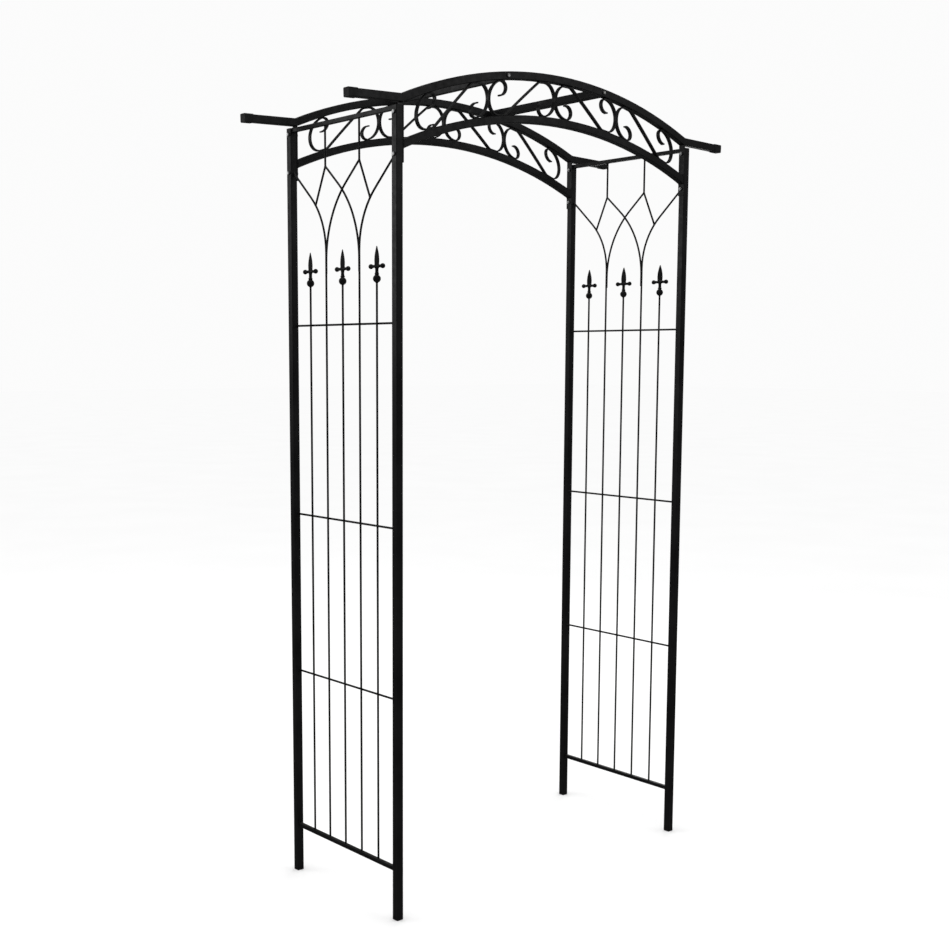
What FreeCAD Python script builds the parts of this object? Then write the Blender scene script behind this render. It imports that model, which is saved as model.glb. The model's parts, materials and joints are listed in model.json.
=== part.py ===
import FreeCAD, Part
import math
import os

# Garden rose arch in square steel tube: two side panels, two arched trusses and two roof bars.
# X runs across the walkway, Y from the front truss to the rear truss, Z up.
# The origin lies on the ground at the centre of the four feet.

DRIVING_SIZES = {
    # overall
    "overall_height": 2400,
    "overall_width": 1500,
    "post_spacing": 1165,
    "frame_depth": 500,
    # main square tube of the posts, arched rails and roof bars
    "tube_size": 22,
    "tube_wall": 1.2,
    "tube_corner": 2,
    # light square tube of the panel's bottom and top rails
    "slim_tube_size": 12,
    "slim_tube_wall": 1,
    "slim_tube_corner": 1,
    # arched trusses
    "arch_rise": 118,
    "rail_drop": 120,
    "tail_slope": 2,
    "elbow_radius": 30,
    "post_gap": 8,
    "plate_thickness": 3,
    "plate_length": 149,
    "scroll_count": 4,
    "scroll_end_gap": 48.5,
    "scroll_width": 12,
    "scroll_thickness": 4,
    "curl_radius": 20,
    "scroll_bend_radius": 15,
    # side panels
    "rod_size": 6,
    "bottom_rail_height": 141,
    "lower_rod_height": 636,
    "middle_rod_height": 1119,
    "upper_rod_drop": 571,
    "finial_drop": 460,
    "stem_bend_drop": 368,
    "stem_bend_radius": 216,
    "stem_bend_angle": 48,
    "tracery_bend_drop": 392,
    "tracery_overlap": 34,
    "tracery_bend_radius": 284,
    "tracery_bend_angle": 49,
    "tracery_apex_radius": 7,
    "tracery_apex_spread": 170,
    # cast finials
    "finial_height": 99,
    "finial_ball": 22,
    "finial_collar": 13,
    "finial_arm_span": 53,
    "finial_arm_size": 8,
    "finial_arm_ball": 14,
    "finial_blade_width": 22,
    "finial_thickness": 7,
    # plastic plugs and caps
    "plug_flange": 2,
    "foot_flange": 4,
    "plug_depth": 9,
    "plug_clearance": 0.1,
    "cap_length": 30,
    "cap_wall": 1.5,
    "cap_end": 2,
    "cap_round": 1.2,
    "foot_round": 1.5,
    # fasteners
    "bolt_size": 6,
    "bolt_clearance": 0.25,
    "bolt_head": 10,
    "bolt_head_height": 4,
    "nut_height": 5,
    "bolt_end": 2,
    "upper_bolt_drop": 18,
    "lower_bolt_drop": 127.5,
    "insert_depth": 14,
}

SPRING_HEIGHT = "(sizes.overall_height - sizes.tube_size / 2 - sizes.arch_rise)"
POST_TOP = "(" + SPRING_HEIGHT + " - sizes.tube_size / 2 - sizes.post_gap)"
HALF_SPACING = "(sizes.post_spacing / 2)"
HALF_DEPTH = "(sizes.frame_depth / 2)"
CLEAR_DEPTH = "(sizes.frame_depth - sizes.tube_size)"
RODS_PER_PANEL = 5
# share of the stem's bend at which the brace lands on it
BRACE_LANDING = 0.83
# hairline between a coped rod end and the rod it is welded to
COPE_GAP = 0.01
# places along a scroll, as shares of its length
SCROLL_FOOT = 0.177
SCROLL_CROWN = 0.154
SCROLL_SHOULDER = 0.231
CURL_END_ANGLE = 105
# two arcs of a finial's blade from root to tip, as shares of its half width and of its height above the arms
BLADE_OUTLINE = ((0, -0.13), (0.82, 0.03), (1, 0.28), (0.77, 0.62), (0, 1))

SIDES = {"left": -1, "right": 1}
ENDS = {"front": -1, "rear": 1}


def fill_sheet(doc):
    """Writes the driving sizes as plain numbers, one aliased cell each."""
    sheet = doc.addObject("Spreadsheet::Sheet", "sizes")
    for row, (alias, value) in enumerate(DRIVING_SIZES.items(), start=1):
        sheet.set("A%d" % row, alias)
        sheet.set("B%d" % row, str(value))
        sheet.setAlias("B%d" % row, alias)
    doc.recompute()
    return sheet


class Sizes:
    """Sizes read back from the sheet, with the ones worked out from them."""

    def __init__(self, sheet):
        for alias in DRIVING_SIZES:
            setattr(self, alias, float(sheet.get(alias)))
        self.half_tube = self.tube_size / 2
        self.half_spacing = self.post_spacing / 2
        self.half_depth = self.frame_depth / 2
        self.spring_height = self.overall_height - self.half_tube - self.arch_rise
        self.post_top = self.spring_height - self.half_tube - self.post_gap
        self.post_face_y = self.half_depth - self.half_tube
        self.plate_outer_x = self.half_spacing - self.half_tube
        self.plate_inner_x = self.plate_outer_x - self.plate_thickness
        self.kink_x = (self.plate_outer_x + self.plate_inner_x) / 2
        self.arch_radius = (self.kink_x ** 2 + self.arch_rise ** 2) / (2 * self.arch_rise)
        self.arch_centre_z = self.overall_height - self.half_tube - self.arch_radius
        self.rod_radius = self.rod_size / 2
        self.rod_pitch = (self.frame_depth - self.tube_size) / (RODS_PER_PANEL + 1)
        self.apex_y = self.tracery_apex_spread / 2
        self.top_rail_underside = self.post_top - self.slim_tube_size
        self.upper_bolt_z = self.post_top - self.upper_bolt_drop
        self.lower_bolt_z = self.post_top - self.lower_bolt_drop
        self.bolt_radius = self.bolt_size / 2
        self.hole_radius = self.bolt_radius + self.bolt_clearance
        self.finial_base = self.post_top - self.finial_drop
        self.scroll_length = 2 * (self.plate_inner_x - self.scroll_end_gap) / self.scroll_count
        self.roof_bar_x = self.post_spacing / 6


# ---------------------------------------------------------------- helpers

def bind(obj, **expressions):
    """Ties properties to expressions; a double underscore in a name stands for a dot."""
    for name, expression in expressions.items():
        obj.setExpression(name.replace("__", "."), expression)
    return obj


def label(obj, name):
    """Gives a finished sub-part the label that names its file."""
    obj.Label = name
    return obj


def origin_plane(body, role):
    """The body's own origin plane with the given role."""
    return next(item for item in body.Origin.OriginFeatures if item.Role == role)


def attached_sketch(body, name, role="XY_Plane"):
    """An empty sketch on one of the body's origin planes."""
    sketch = body.newObject("Sketcher::SketchObject", name)
    sketch.AttachmentSupport = (origin_plane(body, role), [""])
    sketch.MapMode = "FlatFace"
    return sketch


def add_square(sketch, side, name):
    """A square centred on the sketch's origin, with one named side bound to an expression."""
    import Sketcher
    corners = [(-1, -1), (1, -1), (1, 1), (-1, 1)]
    first = sketch.GeometryCount
    for index in range(4):
        start = FreeCAD.Vector(*corners[index], 0)
        end = FreeCAD.Vector(*corners[(index + 1) % 4], 0)
        sketch.addGeometry(Part.LineSegment(start, end), False)
    for index in range(4):
        following = first + (index + 1) % 4
        sketch.addConstraint(Sketcher.Constraint("Coincident", first + index, 2, following, 1))
        direction = "Horizontal" if index % 2 == 0 else "Vertical"
        sketch.addConstraint(Sketcher.Constraint(direction, first + index))
    sketch.addConstraint(Sketcher.Constraint("Symmetric", first, 1, first + 1, 2, -1, 1))
    sketch.addConstraint(Sketcher.Constraint("Equal", first, first + 1))
    number = sketch.addConstraint(Sketcher.Constraint("DistanceX", first, 1, first, 2, 2.0))
    sketch.renameConstraint(number, name)
    sketch.setExpression("Constraints." + name, side)


def long_edges(shape):
    """Names of the edges of a padded square that run along Z on its outside."""
    reach = shape.BoundBox.XMax
    names = []
    for number, edge in enumerate(shape.Edges, start=1):
        start = edge.Vertexes[0].Point
        end = edge.Vertexes[-1].Point
        if abs(start.z - end.z) > 1e-6 and abs(abs(start.x) - reach) < 1e-6:
            names.append("Edge%d" % number)
    return names


def square_tube(doc, name, kind, length):
    """A hollow square tube along its own Z, of the main or the slim section."""
    body = doc.addObject("PartDesign::Body", name)
    section = attached_sketch(body, name + "_section")
    add_square(section, "sizes.%s_size" % kind, "outer_side")
    add_square(section, "sizes.{0}_size - 2 * sizes.{0}_wall".format(kind), "inner_side")
    pad = body.newObject("PartDesign::Pad", name + "_pad")
    pad.Profile = section
    bind(pad, Length=length)
    doc.recompute()
    corners = body.newObject("PartDesign::Fillet", name + "_corners")
    corners.Base = (pad, long_edges(pad.Shape))
    bind(corners, Radius="sizes.%s_corner" % kind)
    doc.recompute()
    return body


def drill_across(doc, body, heights):
    """Drills round bolt holes along the tube's own X, at expressions for their heights."""
    import Sketcher
    before = body.Shape.Volume
    sketch = attached_sketch(body, body.Name + "_drilling", "YZ_Plane")
    for index, height in enumerate(heights):
        centre = FreeCAD.Vector(0, 10 * (index + 1), 0)
        ring = sketch.addGeometry(Part.Circle(centre, FreeCAD.Vector(0, 0, 1), 1.0), False)
        sketch.addConstraint(Sketcher.Constraint("PointOnObject", ring, 3, -2))
        level = sketch.addConstraint(Sketcher.Constraint("DistanceY", -1, 1, ring, 3, centre.y))
        sketch.renameConstraint(level, "level_%d" % index)
        sketch.setExpression("Constraints.level_%d" % index, height)
        radius = sketch.addConstraint(Sketcher.Constraint("Radius", ring, 1.0))
        sketch.renameConstraint(radius, "radius_%d" % index)
        sketch.setExpression("Constraints.radius_%d" % index,
                             "sizes.bolt_size / 2 + sizes.bolt_clearance")
    pocket = body.newObject("PartDesign::Pocket", body.Name + "_holes")
    pocket.Profile = sketch
    pocket.SideType = "Symmetric"
    pocket.Type = "ThroughAll"
    doc.recompute()
    if not body.Shape.Volume < before:
        raise RuntimeError(body.Name + ": the bolt holes cut nothing")


def turn(obj, axis, angle):
    """Sets the object's rotation, leaving its position to expressions."""
    obj.Placement = FreeCAD.Placement(FreeCAD.Vector(), FreeCAD.Rotation(axis, angle))


def place(obj, x="0", y="0", z="0"):
    """Ties the object's position to expressions."""
    return bind(obj, Placement__Base__x=x, Placement__Base__y=y, Placement__Base__z=z)


def cylinder(doc, name, radius, height):
    """A round bar along its own Z, with both sizes bound to expressions."""
    return bind(doc.addObject("Part::Cylinder", name), Radius=radius, Height=height)


def made_shape(doc, name, shape):
    """A feature that carries a shape built from the sheet's values."""
    feature = doc.addObject("Part::Feature", name)
    feature.Shape = shape
    feature.Placement = FreeCAD.Placement()
    return feature


def group(doc, name, members):
    """Identical small pieces that share one node."""
    compound = doc.addObject("Part::Compound", name)
    compound.Links = members
    return label(compound, name)


# ---------------------------------------------------------------- side panels

def post(doc, side, end):
    """One corner post, drilled for the two bolts of its truss."""
    name = "%s_%s_post" % (side, end)
    length = POST_TOP + " - sizes.plug_flange - sizes.foot_flange"
    body = square_tube(doc, name, "tube", length)
    drill_across(doc, body, [
        POST_TOP + " - sizes.lower_bolt_drop - sizes.foot_flange",
        POST_TOP + " - sizes.upper_bolt_drop - sizes.foot_flange",
    ])
    place(body, "%d * %s" % (SIDES[side], HALF_SPACING), "%d * %s" % (ENDS[end], HALF_DEPTH),
          "sizes.foot_flange")
    return label(body, name)


def panel_rail(doc, side, level, height):
    """The slim rail that joins a panel's two posts, at an expression for its centre height."""
    name = "%s_%s_rail" % (side, level)
    body = square_tube(doc, name, "slim_tube", CLEAR_DEPTH)
    turn(body, FreeCAD.Vector(1, 0, 0), -90)
    place(body, "%d * %s" % (SIDES[side], HALF_SPACING), "-%s / 2" % CLEAR_DEPTH, height)
    return label(body, name)


def cross_rod(doc, side, level, height):
    """A horizontal rod, welded to the inner side of the upright rods."""
    name = "%s_%s_cross_rod" % (side, level)
    rod = cylinder(doc, name, "sizes.rod_size / 2", CLEAR_DEPTH)
    turn(rod, FreeCAD.Vector(1, 0, 0), -90)
    inner = "%d * (%s - sizes.rod_size)" % (SIDES[side], HALF_SPACING)
    place(rod, inner, "-%s / 2" % CLEAR_DEPTH, height)
    return label(rod, name)


def picket(doc, side, position, steps):
    """A straight upright rod that carries a finial; steps counts rod pitches from the centre."""
    name = "%s_%s_picket" % (side, position)
    foot = "(sizes.bottom_rail_height + sizes.slim_tube_size)"
    rod = cylinder(doc, name, "sizes.rod_size / 2", "%s - sizes.finial_drop - %s" % (POST_TOP, foot))
    pitch = CLEAR_DEPTH + " / %d" % (RODS_PER_PANEL + 1)
    place(rod, "%d * %s" % (SIDES[side], HALF_SPACING), "%d * %s" % (steps, pitch), foot)
    return label(rod, name)


def sweep(path, section, binormal):
    """Solid of a section carried along a flat path without twisting."""
    pipe = Part.BRepOffsetAPI.MakePipeShell(path)
    pipe.setBiNormalMode(binormal)
    pipe.add(section)
    pipe.build()
    pipe.makeSolid()
    return pipe.shape()


def round_sweep(path, radius):
    """A round bar along a path that lies in a side panel's plane."""
    first = path.Edges[0]
    start = first.valueAt(first.FirstParameter)
    ring = Part.Wire(Part.Circle(start, FreeCAD.Vector(0, 0, 1), radius).toShape())
    return sweep(path, ring, FreeCAD.Vector(1, 0, 0))


def turned_arc(start, heading, radius, angle):
    """Arc in the panel's plane that turns left by an angle from a heading, with its new heading."""
    left = FreeCAD.Vector(0, -heading.z, heading.y)
    spin = 1 if angle > 0 else -1
    centre = start + left * (spin * radius)
    half = FreeCAD.Rotation(FreeCAD.Vector(1, 0, 0), angle / 2)
    whole = FreeCAD.Rotation(FreeCAD.Vector(1, 0, 0), angle)
    middle = centre + half.multVec(start - centre)
    end = centre + whole.multVec(start - centre)
    return Part.Arc(start, middle, end).toShape(), end, whole.multVec(heading)


def stem_path(sizes, x):
    """Rear stem's centre line: up from the bottom rail, then bent out to the rear post."""
    foot = FreeCAD.Vector(x, sizes.rod_pitch, sizes.bottom_rail_height + sizes.slim_tube_size)
    bend = FreeCAD.Vector(x, sizes.rod_pitch, sizes.post_top - sizes.stem_bend_drop)
    up = FreeCAD.Vector(0, 0, 1)
    arc, end, heading = turned_arc(bend, up, sizes.stem_bend_radius, -sizes.stem_bend_angle)
    run = (sizes.post_face_y + sizes.rod_size - end.y) / heading.y
    tail = Part.LineSegment(end, end + heading * run).toShape()
    return Part.Wire([Part.LineSegment(foot, bend).toShape(), arc, tail])


def stem_shape(sizes, x, gap=0.0):
    """Rear stem, cut off flat where it meets the post; gap fattens it for coping."""
    bar = round_sweep(stem_path(sizes, x), sizes.rod_radius + gap)
    corner = FreeCAD.Vector(x - sizes.tube_size, -sizes.post_face_y, 0)
    room = Part.makeBox(2 * sizes.tube_size, 2 * sizes.post_face_y, sizes.overall_height, corner)
    return bar.common(room).Solids[0]


def tracery_apex_z(sizes):
    """Height of the point where a tracery bar turns upright."""
    nestle = math.sqrt(sizes.rod_size ** 2 - sizes.rod_radius ** 2)
    angle = math.radians(sizes.tracery_bend_angle)
    start_y = sizes.rod_pitch - nestle
    end_y = start_y - sizes.tracery_bend_radius * (1 - math.cos(angle))
    end_z = sizes.post_top - sizes.tracery_bend_drop + sizes.tracery_bend_radius * math.sin(angle)
    return end_z + (end_y + sizes.apex_y) / math.tan(angle)


def tracery_shape(sizes, x, gap=0.0):
    """Bar that lies against the rear stem, sweeps across to above the front stem and runs up."""
    nestle = math.sqrt(sizes.rod_size ** 2 - sizes.rod_radius ** 2)
    start_y = sizes.rod_pitch - nestle
    bend_z = sizes.post_top - sizes.tracery_bend_drop
    bend = FreeCAD.Vector(x, start_y, bend_z)
    foot = bend - FreeCAD.Vector(0, 0, sizes.tracery_overlap)
    up = FreeCAD.Vector(0, 0, 1)
    sweep, end, heading = turned_arc(bend, up, sizes.tracery_bend_radius, sizes.tracery_bend_angle)
    apex = FreeCAD.Vector(x, -sizes.apex_y, tracery_apex_z(sizes))
    setback = sizes.tracery_apex_radius * math.tan(math.radians(sizes.tracery_bend_angle) / 2)
    knee = apex - heading * setback
    elbow, risen, _ = turned_arc(knee, heading, sizes.tracery_apex_radius, -sizes.tracery_bend_angle)
    top = FreeCAD.Vector(x, -sizes.apex_y, sizes.top_rail_underside)
    runs = [
        Part.LineSegment(foot, bend).toShape(),
        sweep,
        Part.LineSegment(end, knee).toShape(),
        elbow,
        Part.LineSegment(risen, top).toShape(),
    ]
    return round_sweep(Part.Wire(runs), sizes.rod_radius + gap)


def brace_shape(sizes, x, tracery_x):
    """Short rod from above the front stem down to its bend, coped to stem and tracery."""
    angle = math.radians(sizes.stem_bend_angle) * BRACE_LANDING
    stem_y = -(sizes.rod_pitch + sizes.stem_bend_radius * (1 - math.cos(angle)))
    stem_z = sizes.post_top - sizes.stem_bend_drop + sizes.stem_bend_radius * math.sin(angle)
    low = FreeCAD.Vector(x, stem_y, stem_z)
    high = FreeCAD.Vector(tracery_x, -sizes.apex_y, tracery_apex_z(sizes))
    rod = Part.makeCylinder(sizes.rod_radius, (high - low).Length, low, high - low)
    rear_stem = stem_shape(sizes, x, COPE_GAP)
    front_stem = rear_stem.rotated(FreeCAD.Vector(x, 0, 0), FreeCAD.Vector(0, 0, 1), 180)
    for neighbour in (front_stem, tracery_shape(sizes, tracery_x, COPE_GAP)):
        rod = max(rod.cut(neighbour).Solids, key=lambda piece: piece.Volume)
    return rod


def panel_bars(doc, sizes, side):
    """Stems, tracery and braces of one side panel; half of them turned round its upright axis."""
    x = SIDES[side] * sizes.half_spacing
    upright = FreeCAD.Vector(0, 0, 1)
    kept = FreeCAD.Placement()
    turned = FreeCAD.Placement(FreeCAD.Vector(), FreeCAD.Rotation(upright, 180), FreeCAD.Vector(x, 0, 0))
    stem = stem_shape(sizes, x)
    tracery = tracery_shape(sizes, x - sizes.rod_radius)
    brace = brace_shape(sizes, x, x - sizes.rod_radius)
    parts = []
    for end, placement in (("rear", kept), ("front", turned)):
        parts.append(made_shape(doc, "%s_%s_stem" % (side, end), stem))
        parts.append(made_shape(doc, "%s_%s_tracery" % (side, end), tracery))
        for part in parts[-2:]:
            part.Placement = placement
    for end, placement in (("front", kept), ("rear", turned)):
        parts.append(made_shape(doc, "%s_%s_brace" % (side, end), brace))
        parts[-1].Placement = placement
    return parts


def finial_shape(sizes):
    """Cast spear finial on its own origin: ball, collar, neck, cross arms with balls, leaf blade."""
    up = FreeCAD.Vector(0, 0, 1)
    ball = sizes.finial_ball / 2
    seat = sizes.rod_radius + 0.8
    ball_z = math.sqrt(ball ** 2 - seat ** 2)
    collar_z = ball_z + ball
    arm_z = 0.445 * sizes.finial_height
    base = Part.makeSphere(ball, FreeCAD.Vector(0, 0, ball_z))
    base = base.cut(Part.makeBox(4 * ball, 4 * ball, ball, FreeCAD.Vector(-2 * ball, -2 * ball, -ball)))
    collar = Part.makeCone(sizes.finial_collar / 2, sizes.finial_collar / 3, 5,
                           FreeCAD.Vector(0, 0, collar_z - 1), up)
    neck = Part.makeCone(sizes.finial_collar / 3, sizes.finial_arm_size / 2, arm_z - collar_z,
                         FreeCAD.Vector(0, 0, collar_z), up)
    half_span = sizes.finial_arm_span / 2
    arm = Part.makeCylinder(sizes.finial_arm_size / 2, sizes.finial_arm_span,
                            FreeCAD.Vector(0, -half_span, arm_z), FreeCAD.Vector(0, 1, 0))
    tips = []
    for sign in (-1, 1):
        tips.append(Part.makeSphere(sizes.finial_arm_ball / 2, FreeCAD.Vector(0, sign * half_span, arm_z)))
    blade = blade_shape(sizes, arm_z)
    return base.fuse([collar, neck, arm, blade] + tips).removeSplitter().Solids[0]


def blade_shape(sizes, root_z):
    """Leaf blade of a finial: a spindle flattened across the panel."""
    half_width = sizes.finial_blade_width / 2
    length = sizes.finial_height - root_z
    outline = []
    for width_share, height_share in BLADE_OUTLINE:
        outline.append(FreeCAD.Vector(width_share * half_width, 0, root_z + height_share * length))
    lower = Part.Arc(*outline[:3]).toShape()
    upper = Part.Arc(*outline[2:]).toShape()
    wire = Part.Wire([lower, upper, Part.LineSegment(outline[-1], outline[0]).toShape()])
    spindle = Part.Face(wire).revolve(outline[0], FreeCAD.Vector(0, 0, 1), 360)
    flatten = FreeCAD.Matrix()
    flatten.scale(sizes.finial_thickness / sizes.finial_blade_width, 1, 1)
    return spindle.transformGeometry(flatten)


def finials(doc, sizes, side):
    """The three finials of a panel, on its rear, middle and front pickets."""
    shape = finial_shape(sizes)
    members = []
    for number, steps in enumerate((2, 0, -2), start=1):
        finial = made_shape(doc, "%s_finial_%d" % (side, number), shape)
        finial.Placement.Base = FreeCAD.Vector(SIDES[side] * sizes.half_spacing,
                                               steps * sizes.rod_pitch, sizes.finial_base)
        members.append(finial)
    return group(doc, side + "_finials", members)


def side_panel(doc, sizes, side):
    """Everything between and with the two posts of one side."""
    parts = [post(doc, side, end) for end in ENDS]
    half_slim = "sizes.slim_tube_size / 2"
    parts.append(panel_rail(doc, side, "bottom", "sizes.bottom_rail_height + " + half_slim))
    parts.append(panel_rail(doc, side, "top", POST_TOP + " - " + half_slim))
    parts.append(cross_rod(doc, side, "lower", "sizes.lower_rod_height"))
    parts.append(cross_rod(doc, side, "middle", "sizes.middle_rod_height"))
    parts.append(cross_rod(doc, side, "upper", POST_TOP + " - sizes.upper_rod_drop"))
    for position, steps in (("rear", 2), ("middle", 0), ("front", -2)):
        parts.append(picket(doc, side, position, steps))
    parts.extend(panel_bars(doc, sizes, side))
    parts.append(finials(doc, sizes, side))
    return parts


# ---------------------------------------------------------------- arched trusses

def rounded_square(side, corner):
    """Closed wire of a square with rounded corners, centred, in the YZ plane."""
    half = side / 2
    inner = half - corner
    diagonal = inner + corner * math.sqrt(0.5)
    edges = []
    for quarter in range(4):
        spin = FreeCAD.Rotation(FreeCAD.Vector(1, 0, 0), 90 * quarter)
        start, end = FreeCAD.Vector(0, half, -inner), FreeCAD.Vector(0, half, inner)
        middle, last = FreeCAD.Vector(0, diagonal, diagonal), FreeCAD.Vector(0, inner, half)
        edges.append(Part.LineSegment(spin.multVec(start), spin.multVec(end)).toShape())
        edges.append(Part.Arc(spin.multVec(end), spin.multVec(middle), spin.multVec(last)).toShape())
    return Part.Wire(edges)


def tube_section(sizes, inner):
    """Outer or inner outline of the main tube."""
    if inner:
        corner = max(sizes.tube_corner - sizes.tube_wall, 0.3)
        return rounded_square(sizes.tube_size - 2 * sizes.tube_wall, corner)
    return rounded_square(sizes.tube_size, sizes.tube_corner)


def arch_z(sizes, x, drop=0.0, offset=0.0):
    """Height of an arch line at x: the centre line lowered by drop, or a surface offset from it."""
    radius = sizes.arch_radius + offset
    return sizes.arch_centre_z - drop + math.sqrt(radius ** 2 - x ** 2)


def arch_point(sizes, x, drop=0.0):
    """Point of an arch's centre line at x."""
    return FreeCAD.Vector(x, 0, arch_z(sizes, x, drop))


def tail_end(sizes):
    """Outer end of the right-hand tail's tube, on its centre line."""
    slope = math.radians(sizes.tail_slope)
    cap_half = sizes.half_tube + sizes.cap_wall
    reach = sizes.overall_width / 2 - cap_half * math.sin(slope) - sizes.cap_end * math.cos(slope)
    kink_z = arch_z(sizes, sizes.kink_x)
    return FreeCAD.Vector(reach, 0, kink_z - (reach - sizes.kink_x) * math.tan(slope))


def elbow_centre(sizes):
    """Centre of the bend that joins the arch to the right-hand tail."""
    slope = math.radians(sizes.tail_slope)
    along = FreeCAD.Vector(math.cos(slope), 0, -math.sin(slope))
    upward = FreeCAD.Vector(math.sin(slope), 0, math.cos(slope))
    start = arch_point(sizes, sizes.kink_x) + upward * sizes.elbow_radius
    from_axis = start - FreeCAD.Vector(0, 0, sizes.arch_centre_z)
    reach = sizes.arch_radius + sizes.elbow_radius
    dot = from_axis.dot(along)
    run = -dot + math.sqrt(dot ** 2 - from_axis.dot(from_axis) + reach ** 2)
    return start + along * run, upward


def upper_rail_path(sizes):
    """Centre line of an upper rail: tail, elbow, arch, elbow, tail, from left to right."""
    centre, upward = elbow_centre(sizes)
    axis = FreeCAD.Vector(0, 0, sizes.arch_centre_z)
    on_arch = axis + (centre - axis).normalize() * sizes.arch_radius
    on_tail = centre - upward * sizes.elbow_radius
    middle = centre + ((on_arch + on_tail) * 0.5 - centre).normalize() * sizes.elbow_radius
    crown = FreeCAD.Vector(0, 0, arch_z(sizes, 0))

    def left(point):
        return FreeCAD.Vector(-point.x, point.y, point.z)

    tip = tail_end(sizes)
    return Part.Wire([
        Part.LineSegment(left(tip), left(on_tail)).toShape(),
        Part.Arc(left(on_tail), left(middle), left(on_arch)).toShape(),
        Part.Arc(left(on_arch), crown, on_arch).toShape(),
        Part.Arc(on_arch, middle, on_tail).toShape(),
        Part.LineSegment(on_tail, tip).toShape(),
    ])


def upper_rail_solid(sizes, inner=False):
    """The bent upper rail as a full bar, or the space inside it."""
    tip = tail_end(sizes)
    section = tube_section(sizes, inner)
    section.rotate(FreeCAD.Vector(), FreeCAD.Vector(0, 1, 0), -sizes.tail_slope)
    section.translate(FreeCAD.Vector(-tip.x, 0, tip.z))
    return sweep(upper_rail_path(sizes), section, FreeCAD.Vector(0, 1, 0))


def roof_bolt_drills(sizes):
    """Cylinders that drill an upper rail for the roof bars' bolts."""
    drills = []
    for sign in SIDES.values():
        x = sign * sizes.roof_bar_x
        start = FreeCAD.Vector(x, -sizes.tube_size, arch_z(sizes, x))
        drills.append(Part.makeCylinder(sizes.hole_radius, 2 * sizes.tube_size, start,
                                        FreeCAD.Vector(0, 1, 0)))
    return drills


def upper_rail_shape(sizes):
    """Hollow upper rail with its roof bar holes."""
    bar = upper_rail_solid(sizes)
    return bar.cut([upper_rail_solid(sizes, inner=True)] + roof_bolt_drills(sizes)).Solids[0]


def lower_rail_shape(sizes):
    """Hollow lower rail: the same arch lowered, cut off flat at the end plates."""
    spare = sizes.plate_inner_x + sizes.tube_size
    ends = [arch_point(sizes, x, sizes.rail_drop) for x in (-spare, 0, spare)]
    path = Part.Wire([Part.Arc(*ends).toShape()])
    heading = math.degrees(math.asin(spare / sizes.arch_radius))
    solids = []
    for inner in (False, True):
        section = tube_section(sizes, inner)
        section.rotate(FreeCAD.Vector(), FreeCAD.Vector(0, 1, 0), -heading)
        section.translate(ends[0])
        solids.append(sweep(path, section, FreeCAD.Vector(0, 1, 0)))
    room = Part.makeBox(2 * sizes.plate_inner_x, 2 * sizes.tube_size, sizes.overall_height,
                        FreeCAD.Vector(-sizes.plate_inner_x, -sizes.tube_size, 0))
    return solids[0].cut(solids[1]).common(room).Solids[0]


def end_plate(doc, sizes, end, side, envelope):
    """Flat bar welded under a truss's rails and bolted to the inner face of a post."""
    name = "%s_%s_end_plate" % (end, side)
    sign = SIDES[side]
    near = "%s - sizes.tube_size / 2" % HALF_SPACING
    bar = doc.addObject("Part::Box", name + "_bar")
    bottom = POST_TOP + " - sizes.plate_length"
    bind(bar, Length="sizes.plate_thickness", Width="sizes.tube_size",
         Height="%s - (%s)" % (SPRING_HEIGHT, bottom))
    left_x = "%s - sizes.plate_thickness" % near if sign > 0 else "-(%s)" % near
    place(bar, left_x, "%d * %s - sizes.tube_size / 2" % (ENDS[end], HALF_DEPTH), bottom)
    tools = [envelope]
    for level in ("upper", "lower"):
        drill = cylinder(doc, "%s_%s_drill" % (name, level),
                         "sizes.bolt_size / 2 + sizes.bolt_clearance", "3 * sizes.plate_thickness")
        turn(drill, FreeCAD.Vector(0, 1, 0), 90)
        place(drill, left_x + " - sizes.plate_thickness", "%d * %s" % (ENDS[end], HALF_DEPTH),
              "%s - sizes.%s_bolt_drop" % (POST_TOP, level))
        tools.append(drill)
    waste = doc.addObject("Part::MultiFuse", name + "_waste")
    waste.Shapes = tools
    plate = doc.addObject("Part::Cut", name)
    plate.Base = bar
    plate.Tool = waste
    return label(plate, name)


def scroll_course(sizes):
    """Centre line of a scroll in its flat band, as functions of a share from 0 to 1."""
    length, half = sizes.scroll_length, sizes.scroll_thickness / 2
    tall = sizes.rail_drop - sizes.tube_size - sizes.scroll_thickness
    foot, crown = SCROLL_FOOT * length, SCROLL_CROWN * length
    shoulder, bend, curl = SCROLL_SHOULDER * length, sizes.scroll_bend_radius, sizes.curl_radius
    run, fall = length - 2 * shoulder, tall - 2 * bend
    slant = math.atan2(fall, run) + math.asin(2 * bend / math.hypot(run, fall))

    def oval(centre_u, centre_v, radius_u, radius_v, first, last):
        def point(share):
            angle = math.radians(first + (last - first) * share)
            return centre_u + radius_u * math.cos(angle), centre_v + radius_v * math.sin(angle)
        return point

    def straight(start, end):
        return lambda share: tuple(a + (b - a) * share for a, b in zip(start, end))

    def turned(course):
        def point(share):
            u, v = course(1 - share)
            return length - u, tall - v
        return point

    turn_angle = 90 - math.degrees(slant)
    bend_course = oval(shoulder, tall - bend, bend, bend, 90, turn_angle)
    half_courses = [
        oval(foot, curl, curl, curl, CURL_END_ANGLE, -90),
        oval(foot, tall / 2, foot - half, tall / 2, 270, 180),
        oval(crown, tall / 2, crown - half, tall / 2, 180, 90),
        straight((crown, tall), (shoulder, tall)),
        bend_course,
    ]
    slope = straight(bend_course(1), turned(bend_course)(0))
    return half_courses + [slope] + [turned(course) for course in reversed(half_courses)], tall


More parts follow.
